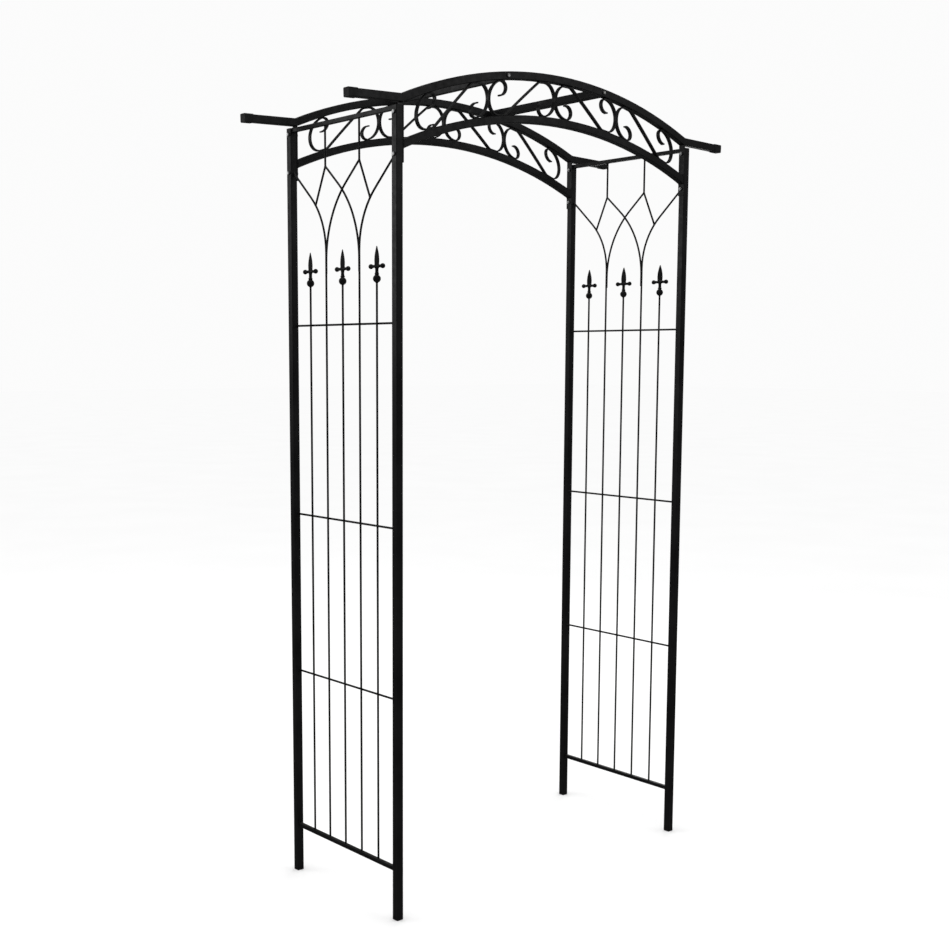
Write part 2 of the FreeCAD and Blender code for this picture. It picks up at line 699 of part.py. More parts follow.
def scroll_place(sizes, start_x, mirrored, tall):
    """Carries a point of the flat band into the curved band between the rails."""
    half = sizes.scroll_thickness / 2
    lower_radius = sizes.arch_radius + sizes.half_tube
    upper_radius = sizes.arch_radius - sizes.half_tube

    def carried(point):
        u, v = point
        x = start_x + (sizes.scroll_length - u if mirrored else u)
        low = arch_z(sizes, x, sizes.rail_drop, sizes.half_tube)
        high = arch_z(sizes, x, 0, -sizes.half_tube)
        low += half * lower_radius / math.sqrt(lower_radius ** 2 - x ** 2)
        high -= half * upper_radius / math.sqrt(upper_radius ** 2 - x ** 2)
        return FreeCAD.Vector(x, 0, low + (high - low) * v / tall)

    return carried


def scroll_sides(course, carried, half):
    """The two side curves of one stretch of a scroll's flat bar."""
    steps = 12
    reach = 1e-4
    sides = ([], [])
    tangents = []
    for step in range(steps + 1):
        share = step / steps
        tangent = (carried(course(share + reach)) - carried(course(share - reach))).normalize()
        normal = FreeCAD.Vector(-tangent.z, 0, tangent.x)
        point = carried(course(share))
        sides[0].append(point + normal * half)
        sides[1].append(point - normal * half)
        tangents.append(tangent)
    return sides, tangents[0], tangents[-1]


def scroll_shape(sizes, index):
    """One flat-bar scroll; the left-hand half of the row mirrors the right-hand half."""
    mirrored = index < sizes.scroll_count / 2
    start_x = (index - sizes.scroll_count / 2) * sizes.scroll_length
    courses, tall = scroll_course(sizes)
    carried = scroll_place(sizes, start_x, mirrored, tall)
    half = sizes.scroll_thickness / 2
    rows = ([], [])
    for course in courses:
        sides, first, last = scroll_sides(course, carried, half)
        for row, points in zip(rows, sides):
            curve = Part.BSplineCurve()
            curve.interpolate(Points=points, InitialTangent=first, FinalTangent=last)
            row.append(curve.toShape())
    starts = [row[0].valueAt(row[0].FirstParameter) for row in rows]
    ends = [row[-1].valueAt(row[-1].LastParameter) for row in rows]
    caps = [Part.LineSegment(*starts).toShape(), Part.LineSegment(*ends).toShape()]
    outline = Part.Wire(Part.__sortEdges__(rows[0] + rows[1] + caps))
    face = Part.Face(outline)
    face.translate(FreeCAD.Vector(0, -sizes.scroll_width / 2, 0))
    return face.extrude(FreeCAD.Vector(0, sizes.scroll_width, 0))


def truss(doc, sizes, end):
    """Upper rail, lower rail, scrolls and end plates of the front or rear arch."""
    shift = FreeCAD.Vector(0, ENDS[end] * sizes.half_depth, 0)
    envelope = made_shape(doc, end + "_rail_envelope", upper_rail_solid(sizes))
    parts = [
        made_shape(doc, end + "_upper_rail", upper_rail_shape(sizes)),
        made_shape(doc, end + "_lower_rail", lower_rail_shape(sizes)),
    ]
    for index in range(int(sizes.scroll_count)):
        name = "%s_scroll_%d" % (end, index + 1)
        parts.append(made_shape(doc, name, scroll_shape(sizes, index)))
    for part in parts + [envelope]:
        part.Placement.Base = shift
    for side in SIDES:
        parts.append(end_plate(doc, sizes, end, side, envelope))
    return parts


# ---------------------------------------------------------------- roof bars, plugs and caps

def roof_bar_placement(sizes, side, y):
    """Lies along Y at a roof bar's place, turned with the arch's slope there."""
    x = SIDES[side] * sizes.roof_bar_x
    tilt = math.degrees(math.asin(x / sizes.arch_radius))
    lying = FreeCAD.Rotation(FreeCAD.Vector(1, 0, 0), -90)
    rolled = FreeCAD.Rotation(FreeCAD.Vector(0, 1, 0), tilt)
    return FreeCAD.Placement(FreeCAD.Vector(x, y, arch_z(sizes, x)), rolled * lying)


def roof_bar(doc, sizes, side):
    """Square tube that ties the two upper rails together."""
    name = side + "_roof_bar"
    body = square_tube(doc, name, "tube", CLEAR_DEPTH)
    body.Placement = roof_bar_placement(sizes, side, -sizes.post_face_y)
    return label(body, name)


def block(side, corner, start_z, height):
    """Square block with rounded corners, standing on start_z."""
    outline = rounded_square(side, corner)
    outline.rotate(FreeCAD.Vector(), FreeCAD.Vector(0, 1, 0), -90)
    base = Part.Face(outline)
    base.translate(FreeCAD.Vector(0, 0, start_z))
    return base.extrude(FreeCAD.Vector(0, 0, height))


def stub_side(sizes):
    """Side of anything that plugs into the main tube."""
    return sizes.tube_size - 2 * sizes.tube_wall - 2 * sizes.plug_clearance


def plug_shape(sizes, flange, rounding):
    """Plastic plug with its flange below z = 0 and its stub above."""
    plate = block(sizes.tube_size, sizes.tube_corner, -flange, flange)
    rim = [edge for edge in plate.Edges if edge.BoundBox.ZMax < -flange + 1e-6]
    plate = plate.makeFillet(rounding, rim)
    return plate.fuse(block(stub_side(sizes), 1, 0, sizes.plug_depth)).Solids[0]


def post_plugs(doc, sizes, name, shape, z, turned):
    """One plug in the same end of each of the four posts."""
    members = []
    for side in SIDES:
        for end in ENDS:
            plug = made_shape(doc, "%s_%s_%s" % (name, side, end), shape)
            place_at = FreeCAD.Vector(SIDES[side] * sizes.half_spacing, ENDS[end] * sizes.half_depth, z)
            plug.Placement = FreeCAD.Placement(place_at, FreeCAD.Rotation(FreeCAD.Vector(1, 0, 0), turned))
            members.append(plug)
    return group(doc, name, members)


def cap_shape(sizes):
    """Plastic cap with its mouth towards -Z and the tube's end at z = 0."""
    outer = block(sizes.tube_size + 2 * sizes.cap_wall, sizes.tube_corner + sizes.cap_wall,
                  sizes.cap_end - sizes.cap_length, sizes.cap_length)
    rim = [edge for edge in outer.Edges if edge.BoundBox.ZMin > sizes.cap_end - 1e-6]
    outer = outer.makeFillet(sizes.cap_round, rim)
    room = block(sizes.tube_size + 2 * sizes.plug_clearance, sizes.tube_corner,
                 -sizes.cap_length, sizes.cap_length)
    return outer.cut(room).Solids[0]


def tail_caps(doc, sizes):
    """The caps on the four tails of the upper rails."""
    shape = cap_shape(sizes)
    tip = tail_end(sizes)
    members = []
    for side in SIDES:
        heading = FreeCAD.Rotation(FreeCAD.Vector(0, 1, 0), SIDES[side] * (90 + sizes.tail_slope))
        for end in ENDS:
            cap = made_shape(doc, "tail_cap_%s_%s" % (side, end), shape)
            place_at = FreeCAD.Vector(SIDES[side] * tip.x, ENDS[end] * sizes.half_depth, tip.z)
            cap.Placement = FreeCAD.Placement(place_at, heading)
            members.append(cap)
    return group(doc, "tail_caps", members)


# ---------------------------------------------------------------- fasteners

def hexagon(sizes, start_z, height):
    """Hexagonal prism across the bolt head's flats."""
    radius = sizes.bolt_head / math.sqrt(3)
    corners = []
    for step in range(7):
        angle = math.radians(60 * step)
        corners.append(FreeCAD.Vector(radius * math.cos(angle), radius * math.sin(angle), start_z))
    return Part.Face(Part.makePolygon(corners)).extrude(FreeCAD.Vector(0, 0, height))


def bolt_shape(sizes, grip):
    """Hexagon bolt with its head below z = 0 and its shank above."""
    head = hexagon(sizes, -sizes.bolt_head_height, sizes.bolt_head_height)
    return head.fuse(Part.makeCylinder(sizes.bolt_radius, grip)).Solids[0]


def nut_shape(sizes):
    """Hexagon nut standing on z = 0."""
    bore = Part.makeCylinder(sizes.bolt_radius, 2 * sizes.nut_height)
    return hexagon(sizes, 0, sizes.nut_height).cut(bore)


def corner_fasteners(doc, sizes, name, shape, start_x):
    """The same fastener at both bolt levels of all four posts, pointing inwards."""
    members = []
    for side in SIDES:
        inwards = FreeCAD.Rotation(FreeCAD.Vector(0, 1, 0), -SIDES[side] * 90)
        for end in ENDS:
            for level in (sizes.lower_bolt_z, sizes.upper_bolt_z):
                piece = made_shape(doc, "%s_%d" % (name, len(members) + 1), shape)
                place_at = FreeCAD.Vector(SIDES[side] * start_x, ENDS[end] * sizes.half_depth, level)
                piece.Placement = FreeCAD.Placement(place_at, inwards)
                members.append(piece)
    return group(doc, name, members)


def roof_fasteners(doc, sizes, name, shape, start_y, tilted):
    """The same fastener at both ends of both roof bars, pointing inwards."""
    members = []
    for side in SIDES:
        for end in ENDS:
            piece = made_shape(doc, "%s_%d" % (name, len(members) + 1), shape)
            placement = roof_bar_placement(sizes, side, ENDS[end] * start_y)
            if not tilted:
                placement.Rotation = FreeCAD.Rotation(FreeCAD.Vector(1, 0, 0), -90)
            if end == "rear":
                about = FreeCAD.Rotation(FreeCAD.Vector(1, 0, 0), 180)
                placement.Rotation = placement.Rotation * about
            piece.Placement = placement
            members.append(piece)
    return group(doc, name, members)


def insert_shape(sizes):
    """Threaded block fixed in a roof bar's end, with its outer face on z = 0."""
    body = block(stub_side(sizes), 1, 0, sizes.insert_depth)
    return body.cut(Part.makeCylinder(sizes.bolt_radius, 2 * sizes.insert_depth))


def fasteners(doc, sizes):
    """All bolts, nuts and threaded blocks."""
    grip = sizes.tube_size + sizes.plate_thickness + sizes.nut_height + sizes.bolt_end
    head_x = sizes.half_spacing + sizes.half_tube
    roof_grip = sizes.tube_size + sizes.insert_depth - sizes.bolt_end
    rail_face_y = sizes.half_depth + sizes.half_tube
    return [
        corner_fasteners(doc, sizes, "corner_bolts", bolt_shape(sizes, grip), head_x),
        corner_fasteners(doc, sizes, "corner_nuts", nut_shape(sizes), sizes.plate_inner_x),
        roof_fasteners(doc, sizes, "roof_bar_bolts", bolt_shape(sizes, roof_grip), rail_face_y, False),
        roof_fasteners(doc, sizes, "roof_bar_inserts", insert_shape(sizes), sizes.post_face_y, True),
    ]


# ---------------------------------------------------------------- document

def check(doc, parts):
    """Stops if any object failed or any sub-part has no sound shape."""
    for item in doc.Objects:
        if "Invalid" in item.State or "Error" in item.State:
            raise RuntimeError("%s failed: %s" % (item.Name, item.State))
    for part in parts:
        if part.Shape.isNull() or not part.Shape.isValid():
            raise RuntimeError(part.Label + " has no valid shape")
        if not part.Shape.Solids:
            raise RuntimeError(part.Label + " has no solid")


def main():
    """Builds the arch and writes one file for each sub-part."""
    doc = FreeCAD.newDocument("trellis_arch")
    sizes = Sizes(fill_sheet(doc))
    parts = []
    for side in SIDES:
        parts.extend(side_panel(doc, sizes, side))
    for end in ENDS:
        parts.extend(truss(doc, sizes, end))
    parts.extend(roof_bar(doc, sizes, side) for side in SIDES)
    top_plug = plug_shape(sizes, sizes.plug_flange, sizes.plug_flange / 3)
    foot_plug = plug_shape(sizes, sizes.foot_flange, sizes.foot_round)
    top_level = sizes.post_top - sizes.plug_flange
    parts.append(post_plugs(doc, sizes, "post_top_plugs", top_plug, top_level, 180))
    parts.append(post_plugs(doc, sizes, "foot_plugs", foot_plug, sizes.foot_flange, 0))
    parts.append(tail_caps(doc, sizes))
    parts.extend(fasteners(doc, sizes))
    doc.recompute()
    check(doc, parts)
    os.makedirs("parts", exist_ok=True)
    for part in parts:
        part.Shape.exportStep(os.path.join("parts", part.Label + ".step"))
    print("wrote %d sub-parts" % len(parts))


main()
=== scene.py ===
"""Looks of a black steel garden arch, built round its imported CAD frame.

X runs across the walkway, Y from the front truss to the rear truss and Z up, in metres.
Steel tube, rod and flat bar keep their CAD shapes and get a powder coat. The cast finials,
the bolts and nuts and the weld beads are built here.
"""

import json
import logging
import math
from dataclasses import dataclass, field
from enum import Enum
from typing import Callable, Sequence

import bmesh
import bpy
from mathutils import Matrix, Vector, noise
from mathutils.bvhtree import BVHTree


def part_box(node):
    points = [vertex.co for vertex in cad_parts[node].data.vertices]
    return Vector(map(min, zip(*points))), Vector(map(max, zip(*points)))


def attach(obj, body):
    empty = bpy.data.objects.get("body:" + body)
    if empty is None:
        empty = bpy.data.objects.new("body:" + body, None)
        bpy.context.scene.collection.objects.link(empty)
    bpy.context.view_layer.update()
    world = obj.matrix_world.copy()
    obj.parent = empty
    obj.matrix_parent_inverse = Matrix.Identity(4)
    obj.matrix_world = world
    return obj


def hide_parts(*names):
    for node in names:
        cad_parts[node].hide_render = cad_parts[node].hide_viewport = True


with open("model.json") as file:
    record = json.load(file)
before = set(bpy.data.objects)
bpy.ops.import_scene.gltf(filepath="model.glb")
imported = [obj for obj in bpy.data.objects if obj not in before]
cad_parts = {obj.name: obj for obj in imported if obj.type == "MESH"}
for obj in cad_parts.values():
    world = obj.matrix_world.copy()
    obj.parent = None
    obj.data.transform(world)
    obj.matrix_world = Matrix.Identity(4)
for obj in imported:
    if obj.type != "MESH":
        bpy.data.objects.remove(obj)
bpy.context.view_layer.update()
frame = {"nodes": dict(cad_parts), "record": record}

MM = 0.001
BODY = "root"
X_WAY, Y_WAY, Z_WAY = Vector((1, 0, 0)), Vector((0, 1, 0)), Vector((0, 0, 1))

# Sockets of the colour mix node, which share their names with its other kinds.
MIX_SHARE, MIX_FIRST, MIX_SECOND, MIX_COLOUR = 0, 6, 7, 2
BEVEL_SAMPLES = 6
EDGE_COSINES = (0.995, 0.86)
LEVEL_COSINES = (0.55, 0.95)

# Vertices this near to a plane lie on it; this near to another node, they touch it. Touches
# this far apart are two contacts.
ON_PLANE = 0.1 * MM
CONTACT_GAP = 0.6 * MM
CONTACT_SPREAD = 0.2 * MM
CONTACT_SPACING = 12 * MM

# Edges that turn more than this, in degrees, stay sharp.
FASTENER_SHARP = 25.0
PLAIN_SHARP = 40.0
WELD_SHARP = 60.0
LOG = logging.getLogger("garden_arch")

Socket = bpy.types.NodeSocket
Colour = tuple[float, float, float]
Band = tuple[float, float]
Outline = tuple[tuple[float, ...], ...]


class Slot(Enum):
    """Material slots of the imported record."""

    TUBE = "powder_coated_steel"
    ROD = "powder_coated_rod"
    FLAT_BAR = "powder_coated_flat_bar"
    CASTING = "painted_cast_iron"
    PLASTIC = "black_plastic"
    ZINC = "zinc_plated_steel"


class Side(Enum):
    """The two side panels, with the sign of their X."""

    LEFT = -1
    RIGHT = 1

    @property
    def label(self) -> str:
        """Name that the side's nodes start with."""
        return self.name.lower()


class End(Enum):
    """The two trusses, with the sign of their Y."""

    FRONT = -1
    REAR = 1

    @property
    def label(self) -> str:
        """Name that the end's nodes start with."""
        return self.name.lower()


# ---------------------------------------------------------------- finishes


@dataclass(frozen=True)
class Pattern:
    """A noise over the surface, and the band of its values that is read."""

    per_metre: float
    octaves: float = 2.0
    rough: float = 0.5
    low: float = 0.3
    high: float = 0.7


class Graph:
    """A node material under construction."""

    def __init__(self, name: str) -> None:
        """Starts a material with an empty Principled shader.

        Args:
            name: The material's name.
        """
        self.material = bpy.data.materials.new(name)
        self.material.use_nodes = True
        self.tree = self.material.node_tree
        self.tree.nodes.clear()
        self.shader = self.node("ShaderNodeBsdfPrincipled")
        output = self.node("ShaderNodeOutputMaterial")
        self.join(self.shader.outputs["BSDF"], output.inputs["Surface"])
        self.place = self.node("ShaderNodeTexCoord").outputs["Object"]

    def node(self, kind: str, **settings: object) -> bpy.types.Node:
        """Adds a node.

        Args:
            kind: Blender's type name of the node.
            **settings: Attributes to set on it.

        Returns:
            The new node.
        """
        made = self.tree.nodes.new(kind)
        for name, value in settings.items():
            setattr(made, name, value)
        return made

    def join(self, source: Socket, target: Socket) -> None:
        """Links an output to an input."""
        self.tree.links.new(source, target)

    def speckle(self, pattern: Pattern) -> Socket:
        """Noise over the object.

        Args:
            pattern: Its scale, octaves and roughness.

        Returns:
            The noise's value, from 0 to 1.
        """
        made = self.node("ShaderNodeTexNoise")
        self.join(self.place, made.inputs["Vector"])
        made.inputs["Scale"].default_value = pattern.per_metre
        made.inputs["Detail"].default_value = pattern.octaves
        made.inputs["Roughness"].default_value = pattern.rough
        return made.outputs["Fac"]

    def band(self, pattern: Pattern, to_low: float = 0.0, to_high: float = 1.0) -> Socket:
        """Noise whose band is carried to another range.

        Args:
            pattern: The noise and its band.
            to_low: What the band's low end becomes.
            to_high: What the band's high end becomes.

        Returns:
            The new value.
        """
        return self.remap(self.speckle(pattern), pattern.low, pattern.high, to_low, to_high)

    def cells(self, scale: float) -> Socket:
        """Distance to scattered points.

        Args:
            scale: Points per metre.

        Returns:
            The distance, in cells.
        """
        made = self.node("ShaderNodeTexVoronoi")
        self.join(self.place, made.inputs["Vector"])
        made.inputs["Scale"].default_value = scale
        return made.outputs["Distance"]

    def remap(self, source: Socket, low: float, high: float,
              to_low: float, to_high: float) -> Socket:
        """Carries a range of values to another, held at its ends.

        Args:
            source: The value.
            low: Start of its range.
            high: End of its range.
            to_low: What the start becomes.
            to_high: What the end becomes.

        Returns:
            The new value.
        """
        made = self.node("ShaderNodeMapRange", clamp=True)
        self.join(source, made.inputs["Value"])
        ends = {"From Min": low, "From Max": high, "To Min": to_low, "To Max": to_high}
        for name, value in ends.items():
            made.inputs[name].default_value = value
        return made.outputs["Result"]

    def times(self, first: Socket, second: Socket) -> Socket:
        """Product of two values."""
        return self.arithmetic("MULTIPLY", first, second)

    def plus(self, first: Socket, second: Socket) -> Socket:
        """Sum of two values."""
        return self.arithmetic("ADD", first, second)

    def arithmetic(self, operation: str, first: Socket, second: Socket) -> Socket:
        """One sum on two values.

        Args:
            operation: Blender's name for the sum.
            first: Its first value.
            second: Its second value.

        Returns:
            The outcome.
        """
        made = self.node("ShaderNodeMath", operation=operation)
        self.join(first, made.inputs[0])
        self.join(second, made.inputs[1])
        return made.outputs[0]

    def blend(self, share: Socket, first: Colour | Socket, second: Colour) -> Socket:
        """Mix of two colours.

        Args:
            share: How much of the second.
            first: Colour at share 0, or the output of an earlier blend.
            second: Colour at share 1.

        Returns:
            The mixed colour.
        """
        made = self.node("ShaderNodeMix", data_type="RGBA")
        self.join(share, made.inputs[MIX_SHARE])
        if isinstance(first, Socket):
            self.join(first, made.inputs[MIX_FIRST])
        else:
            made.inputs[MIX_FIRST].default_value = (*first, 1.0)
        made.inputs[MIX_SECOND].default_value = (*second, 1.0)
        return made.outputs[MIX_COLOUR]

    def worn_edges(self, reach: float) -> Socket:
        """Where the surface turns sharply.

        Args:
            reach: How far from an edge it is felt, in metres.

        Returns:
            0 on flats, rising to 1 on edges.
        """
        rounded = self.node("ShaderNodeBevel", samples=BEVEL_SAMPLES)
        rounded.inputs["Radius"].default_value = reach
        straight = self.node("ShaderNodeNewGeometry")
        facing = self.node("ShaderNodeVectorMath", operation="DOT_PRODUCT")
        self.join(rounded.outputs["Normal"], facing.inputs[0])
        self.join(straight.outputs["Normal"], facing.inputs[1])
        return self.remap(facing.outputs["Value"], *EDGE_COSINES, 0.0, 1.0)

    def upward(self) -> Socket:
        """Where the surface faces the sky.

        Returns:
            0 on upright and hanging faces, rising to 1 on level ones.
        """
        straight = self.node("ShaderNodeNewGeometry")
        parts = self.node("ShaderNodeSeparateXYZ")
        self.join(straight.outputs["Normal"], parts.inputs[0])
        return self.remap(parts.outputs["Z"], *LEVEL_COSINES, 0.0, 1.0)

    def relief(self, layers: Sequence[tuple[Socket, float, float]]) -> None:
        """Bumps, one layer over another, joined to the shader.

        Args:
            layers: Height, strength and depth in metres of each layer.
        """
        below = None
        for height, strength, depth in layers:
            made = self.node("ShaderNodeBump")
            made.inputs["Strength"].default_value = strength
            made.inputs["Distance"].default_value = depth
            self.join(height, made.inputs["Height"])
            if below is not None:
                self.join(below, made.inputs["Normal"])
            below = made.outputs["Normal"]
        self.join(below, self.shader.inputs["Normal"])

    def set(self, **values: float) -> None:
        """Sets the shader's uniform sockets, with _ for a space in their names."""
        for name, value in values.items():
            self.shader.inputs[name.replace("_", " ")].default_value = value


@dataclass(frozen=True)
class PowderCoat:
    """Satin powder coat: orange peel, stray nibs, thin edges and a little settled dust."""

    name: str
    deep: Colour = (0.0022, 0.0022, 0.0024)
    pale: Colour = (0.0052, 0.0052, 0.0056)
    edge: Colour = (0.022, 0.022, 0.023)
    dust: Colour = (0.045, 0.043, 0.039)
    gloss: Band = (0.30, 0.44)
    dust_dulls: Band = (0.0, 0.22)
    rub_share: Band = (0.15, 1.0)
    dust_share: Band = (0.10, 0.75)
    cloud: Pattern = Pattern(7.0, 3.0, 0.6, 0.35, 0.65)
    rub: Pattern = Pattern(46.0, 4.0, 0.7, 0.40, 0.66)
    settling: Pattern = Pattern(24.0, 5.0, 0.7, 0.42, 0.75)
    sheen: Pattern = Pattern(60.0, 3.0, 0.6)
    peel_per_metre: float = 520.0
    peel_depth: float = 0.10 * MM
    peel_strength: float = 0.55
    nibs_per_metre: float = 85.0
    nib_radius: float = 0.045
    nib_height: float = 0.16 * MM
    nib_strength: float = 0.5
    edge_reach: float = 1.0 * MM
    grit_per_metre: float = 0.0
    grit_depth: float = 0.0
    grit_strength: float = 0.8

    def material(self) -> bpy.types.Material:
        """Makes the finish.

        Returns:
            Its node material.
        """
        graph = Graph(self.name)
        coat = graph.blend(graph.band(self.cloud), self.deep, self.pale)
        edges = graph.times(graph.worn_edges(self.edge_reach), graph.band(self.rub, *self.rub_share))
        coat = graph.blend(edges, coat, self.edge)
        settled = graph.times(graph.upward(), graph.band(self.settling, *self.dust_share))
        graph.join(graph.blend(settled, coat, self.dust), graph.shader.inputs["Base Color"])
        dulled = graph.remap(settled, 0.0, 1.0, *self.dust_dulls)
        sheen = graph.plus(graph.band(self.sheen, *self.gloss), dulled)
        graph.join(sheen, graph.shader.inputs["Roughness"])
        graph.set(Metallic=0.0, IOR=1.5, Specular_IOR_Level=0.34)
        peel = graph.speckle(Pattern(self.peel_per_metre, 1.0, 0.4))
        nibs = graph.remap(graph.cells(self.nibs_per_metre), 0.0, self.nib_radius, 1.0, 0.0)
        layers = [(peel, self.peel_strength, self.peel_depth),
                  (nibs, self.nib_strength, self.nib_height)]
        if self.grit_depth:
            grit = graph.speckle(Pattern(self.grit_per_metre, 4.0, 0.65))
            layers.append((grit, self.grit_strength, self.grit_depth))
        graph.relief(layers)
        return graph.material


@dataclass(frozen=True)
class MouldedPlastic:
    """Matt black plastic with a fine spark-eroded grain and polished edges."""

    name: str
    deep: Colour = (0.0036, 0.0036, 0.0038)
    pale: Colour = (0.0085, 0.0085, 0.0088)
    rubbed: Colour = (0.022, 0.022, 0.023)
    gloss: Band = (0.48, 0.62)
    flow: Pattern = Pattern(38.0, 3.0, 0.6, 0.35, 0.68)
    sheen: Pattern = Pattern(140.0)
    grain: Pattern = Pattern(1700.0, 2.0, 0.6)
    grain_depth: float = 0.06 * MM
    grain_strength: float = 0.45
    edge_reach: float = 0.8 * MM

    def material(self) -> bpy.types.Material:
        """Makes the finish.

        Returns:
            Its node material.
        """
        graph = Graph(self.name)
        body = graph.blend(graph.band(self.flow), self.deep, self.pale)
        body = graph.blend(graph.worn_edges(self.edge_reach), body, self.rubbed)
        graph.join(body, graph.shader.inputs["Base Color"])
        graph.join(graph.band(self.sheen, *self.gloss), graph.shader.inputs["Roughness"])
        graph.set(Metallic=0.0, IOR=1.49, Specular_IOR_Level=0.42)
        graph.relief([(graph.speckle(self.grain), self.grain_strength, self.grain_depth)])
        return graph.material


@dataclass(frozen=True)
class BrightZinc:
    """Bright zinc plate with faint passivation tints, scuffs and crystalline grain."""

    name: str
    silver: Colour = (0.62, 0.63, 0.65)
    straw: Colour = (0.56, 0.54, 0.47)
    dull: Colour = (0.34, 0.35, 0.37)
    gloss: Band = (0.24, 0.44)
    tint: Pattern = Pattern(210.0, 3.0, 0.5, 0.42, 0.70)
    scuffs: Pattern = Pattern(900.0, 4.0, 0.75, 0.55, 0.72)
    sheen: Pattern = Pattern(420.0, 3.0)
    tint_share: Band = (0.0, 0.8)
    scuff_share: Band = (0.0, 0.7)
    crystals_per_metre: float = 2200.0
    crystal_strength: float = 0.25
    grain: Pattern = Pattern(1500.0)
    grain_strength: float = 0.3
    grain_depth: float = 0.03 * MM

    def material(self) -> bpy.types.Material:
        """Makes the finish.

        Returns:
            Its node material.
        """
        graph = Graph(self.name)
        plate = graph.blend(graph.band(self.tint, *self.tint_share), self.silver, self.straw)
        plate = graph.blend(graph.band(self.scuffs, *self.scuff_share), plate, self.dull)
        graph.join(plate, graph.shader.inputs["Base Color"])
        graph.join(graph.band(self.sheen, *self.gloss), graph.shader.inputs["Roughness"])
        graph.set(Metallic=1.0)
        crystals = graph.cells(self.crystals_per_metre)
        graph.relief([(crystals, self.crystal_strength, self.grain_depth),
                      (graph.speckle(self.grain), self.grain_strength, self.grain_depth)])
        return graph.material


@dataclass(frozen=True)
class PaleGround:
    """Plain pale studio floor with a barely uneven roll-on paint."""

    name: str
    light: Colour = (0.90, 0.90, 0.90)
    shade: Colour = (0.885, 0.885, 0.885)
    patches: Pattern = Pattern(1.3, 3.0)
    nap: Pattern = Pattern(240.0)
    nap_depth: float = 0.4 * MM
    nap_strength: float = 0.15

    def material(self) -> bpy.types.Material:
        """Makes the finish.

        Returns:
            Its node material.
        """
        graph = Graph(self.name)
        paint = graph.blend(graph.band(self.patches), self.light, self.shade)
        graph.join(paint, graph.shader.inputs["Base Color"])
        graph.set(Roughness=0.75, Specular_IOR_Level=0.0)
        graph.relief([(graph.speckle(self.nap), self.nap_strength, self.nap_depth)])
        return graph.material


@dataclass
class FinishBook:
    """The finish of each material slot."""

    materials: dict[Slot, bpy.types.Material] = field(default_factory=dict)

    def mix(self) -> None:
        """Makes every finish."""
        coats = {
            Slot.TUBE: PowderCoat("satin_coat_on_tube"),
            Slot.ROD: PowderCoat("satin_coat_on_rod", peel_per_metre=640.0, peel_depth=0.07 * MM,
                                 edge_reach=0.6 * MM),
            Slot.FLAT_BAR: PowderCoat("satin_coat_on_flat_bar", peel_per_metre=600.0,
                                      edge_reach=0.7 * MM),
            Slot.CASTING: PowderCoat("satin_coat_on_casting", gloss=(0.38, 0.56),
                                     edge_reach=0.9 * MM, grit_per_metre=900.0,
                                     grit_depth=0.16 * MM),
            Slot.PLASTIC: MouldedPlastic("matt_black_plastic"),
            Slot.ZINC: BrightZinc("bright_zinc_plate"),
        }
        for slot, finish in coats.items():
            self.materials[slot] = finish.material()

    def dress_frame(self) -> None:
        """Gives every CAD node the finish of its slot."""
        for row in frame["record"]["subparts"]:
            node = frame["nodes"][row["node"]]
            finish = self.materials[Slot(row["material_slot"])]
            for holder in node.material_slots:
                holder.material = finish
            LOG.info("%s: %s", node.name, finish.name)

    def dress(self, piece: bpy.types.Object, slot: Slot) -> None:
        """Gives a new piece its finish and joins it to the frame.

        Args:
            piece: The piece, in place.
            slot: Its material slot.
        """
        piece.data.materials.clear()
        piece.data.materials.append(self.materials[slot])
        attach(piece, BODY)
        LOG.info("%s: %d faces, %s", piece.name, len(piece.data.polygons),
                 self.materials[slot].name)


# ---------------------------------------------------------------- reading the frame


@dataclass(frozen=True)
class Block:
    """Lowest and highest corner of a node or of one of its solids."""

    low: Vector
    high: Vector

    @classmethod
    def of(cls, node: str) -> "Block":
        """Block of a whole CAD node."""
        return cls(*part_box(node))

    @classmethod
    def round_points(cls, points: Sequence[Vector]) -> "Block":
        """Block of a set of points."""
        return cls(Vector([min(p[i] for p in points) for i in range(3)]),
                   Vector([max(p[i] for p in points) for i in range(3)]))

    @property
    def centre(self) -> Vector:
        """Middle of the block."""
        return (self.low + self.high) / 2

    @property
    def size(self) -> Vector:
        """Lengths of the block's sides."""
        return self.high - self.low


def corners_of(node: str) -> list[Vector]:
    """Vertices of a CAD node."""
    return [v.co.copy() for v in frame["nodes"][node].data.vertices]


def solids_of(node: str) -> list[Block]:
    """Finds the separate solids that a CAD node groups.

    Args:
        node: The node's name.

    Returns:
        The block of each solid, in a fixed order.
    """
    mesh = frame["nodes"][node].data
    keys = [tuple(round(c * 1e6) for c in v.co) for v in mesh.vertices]
    leader = {key: key for key in keys}

    def head(key: tuple[int, ...]) -> tuple[int, ...]:
        """Follows a point to the one that stands for its solid.

        Args:
            key: The point.

        Returns:
            The standing point.
        """
        while leader[key] != key:
            leader[key] = leader[leader[key]]
            key = leader[key]
        return key

    for face in mesh.polygons:
        first = head(keys[face.vertices[0]])
        for index in face.vertices[1:]:
            leader[head(keys[index])] = first
    groups: dict[tuple[int, ...], list[Vector]] = {}
    for key, vertex in zip(keys, mesh.vertices):
        groups.setdefault(head(key), []).append(vertex.co)
    blocks = [Block.round_points(points) for points in groups.values()]
    return sorted(blocks, key=lambda block: tuple(round(c, 4) for c in block.centre))


def near_plane(node: str, axis: int, level: float) -> Block:
    """Block of a node's vertices that lie on a plane across an axis.

    Args:
        node: The node's name.
        axis: 0, 1 or 2.
        level: The plane's place on that axis.

    Returns:
        The block of those vertices.
    """
    return Block.round_points([p for p in corners_of(node) if abs(p[axis] - level) < ON_PLANE])


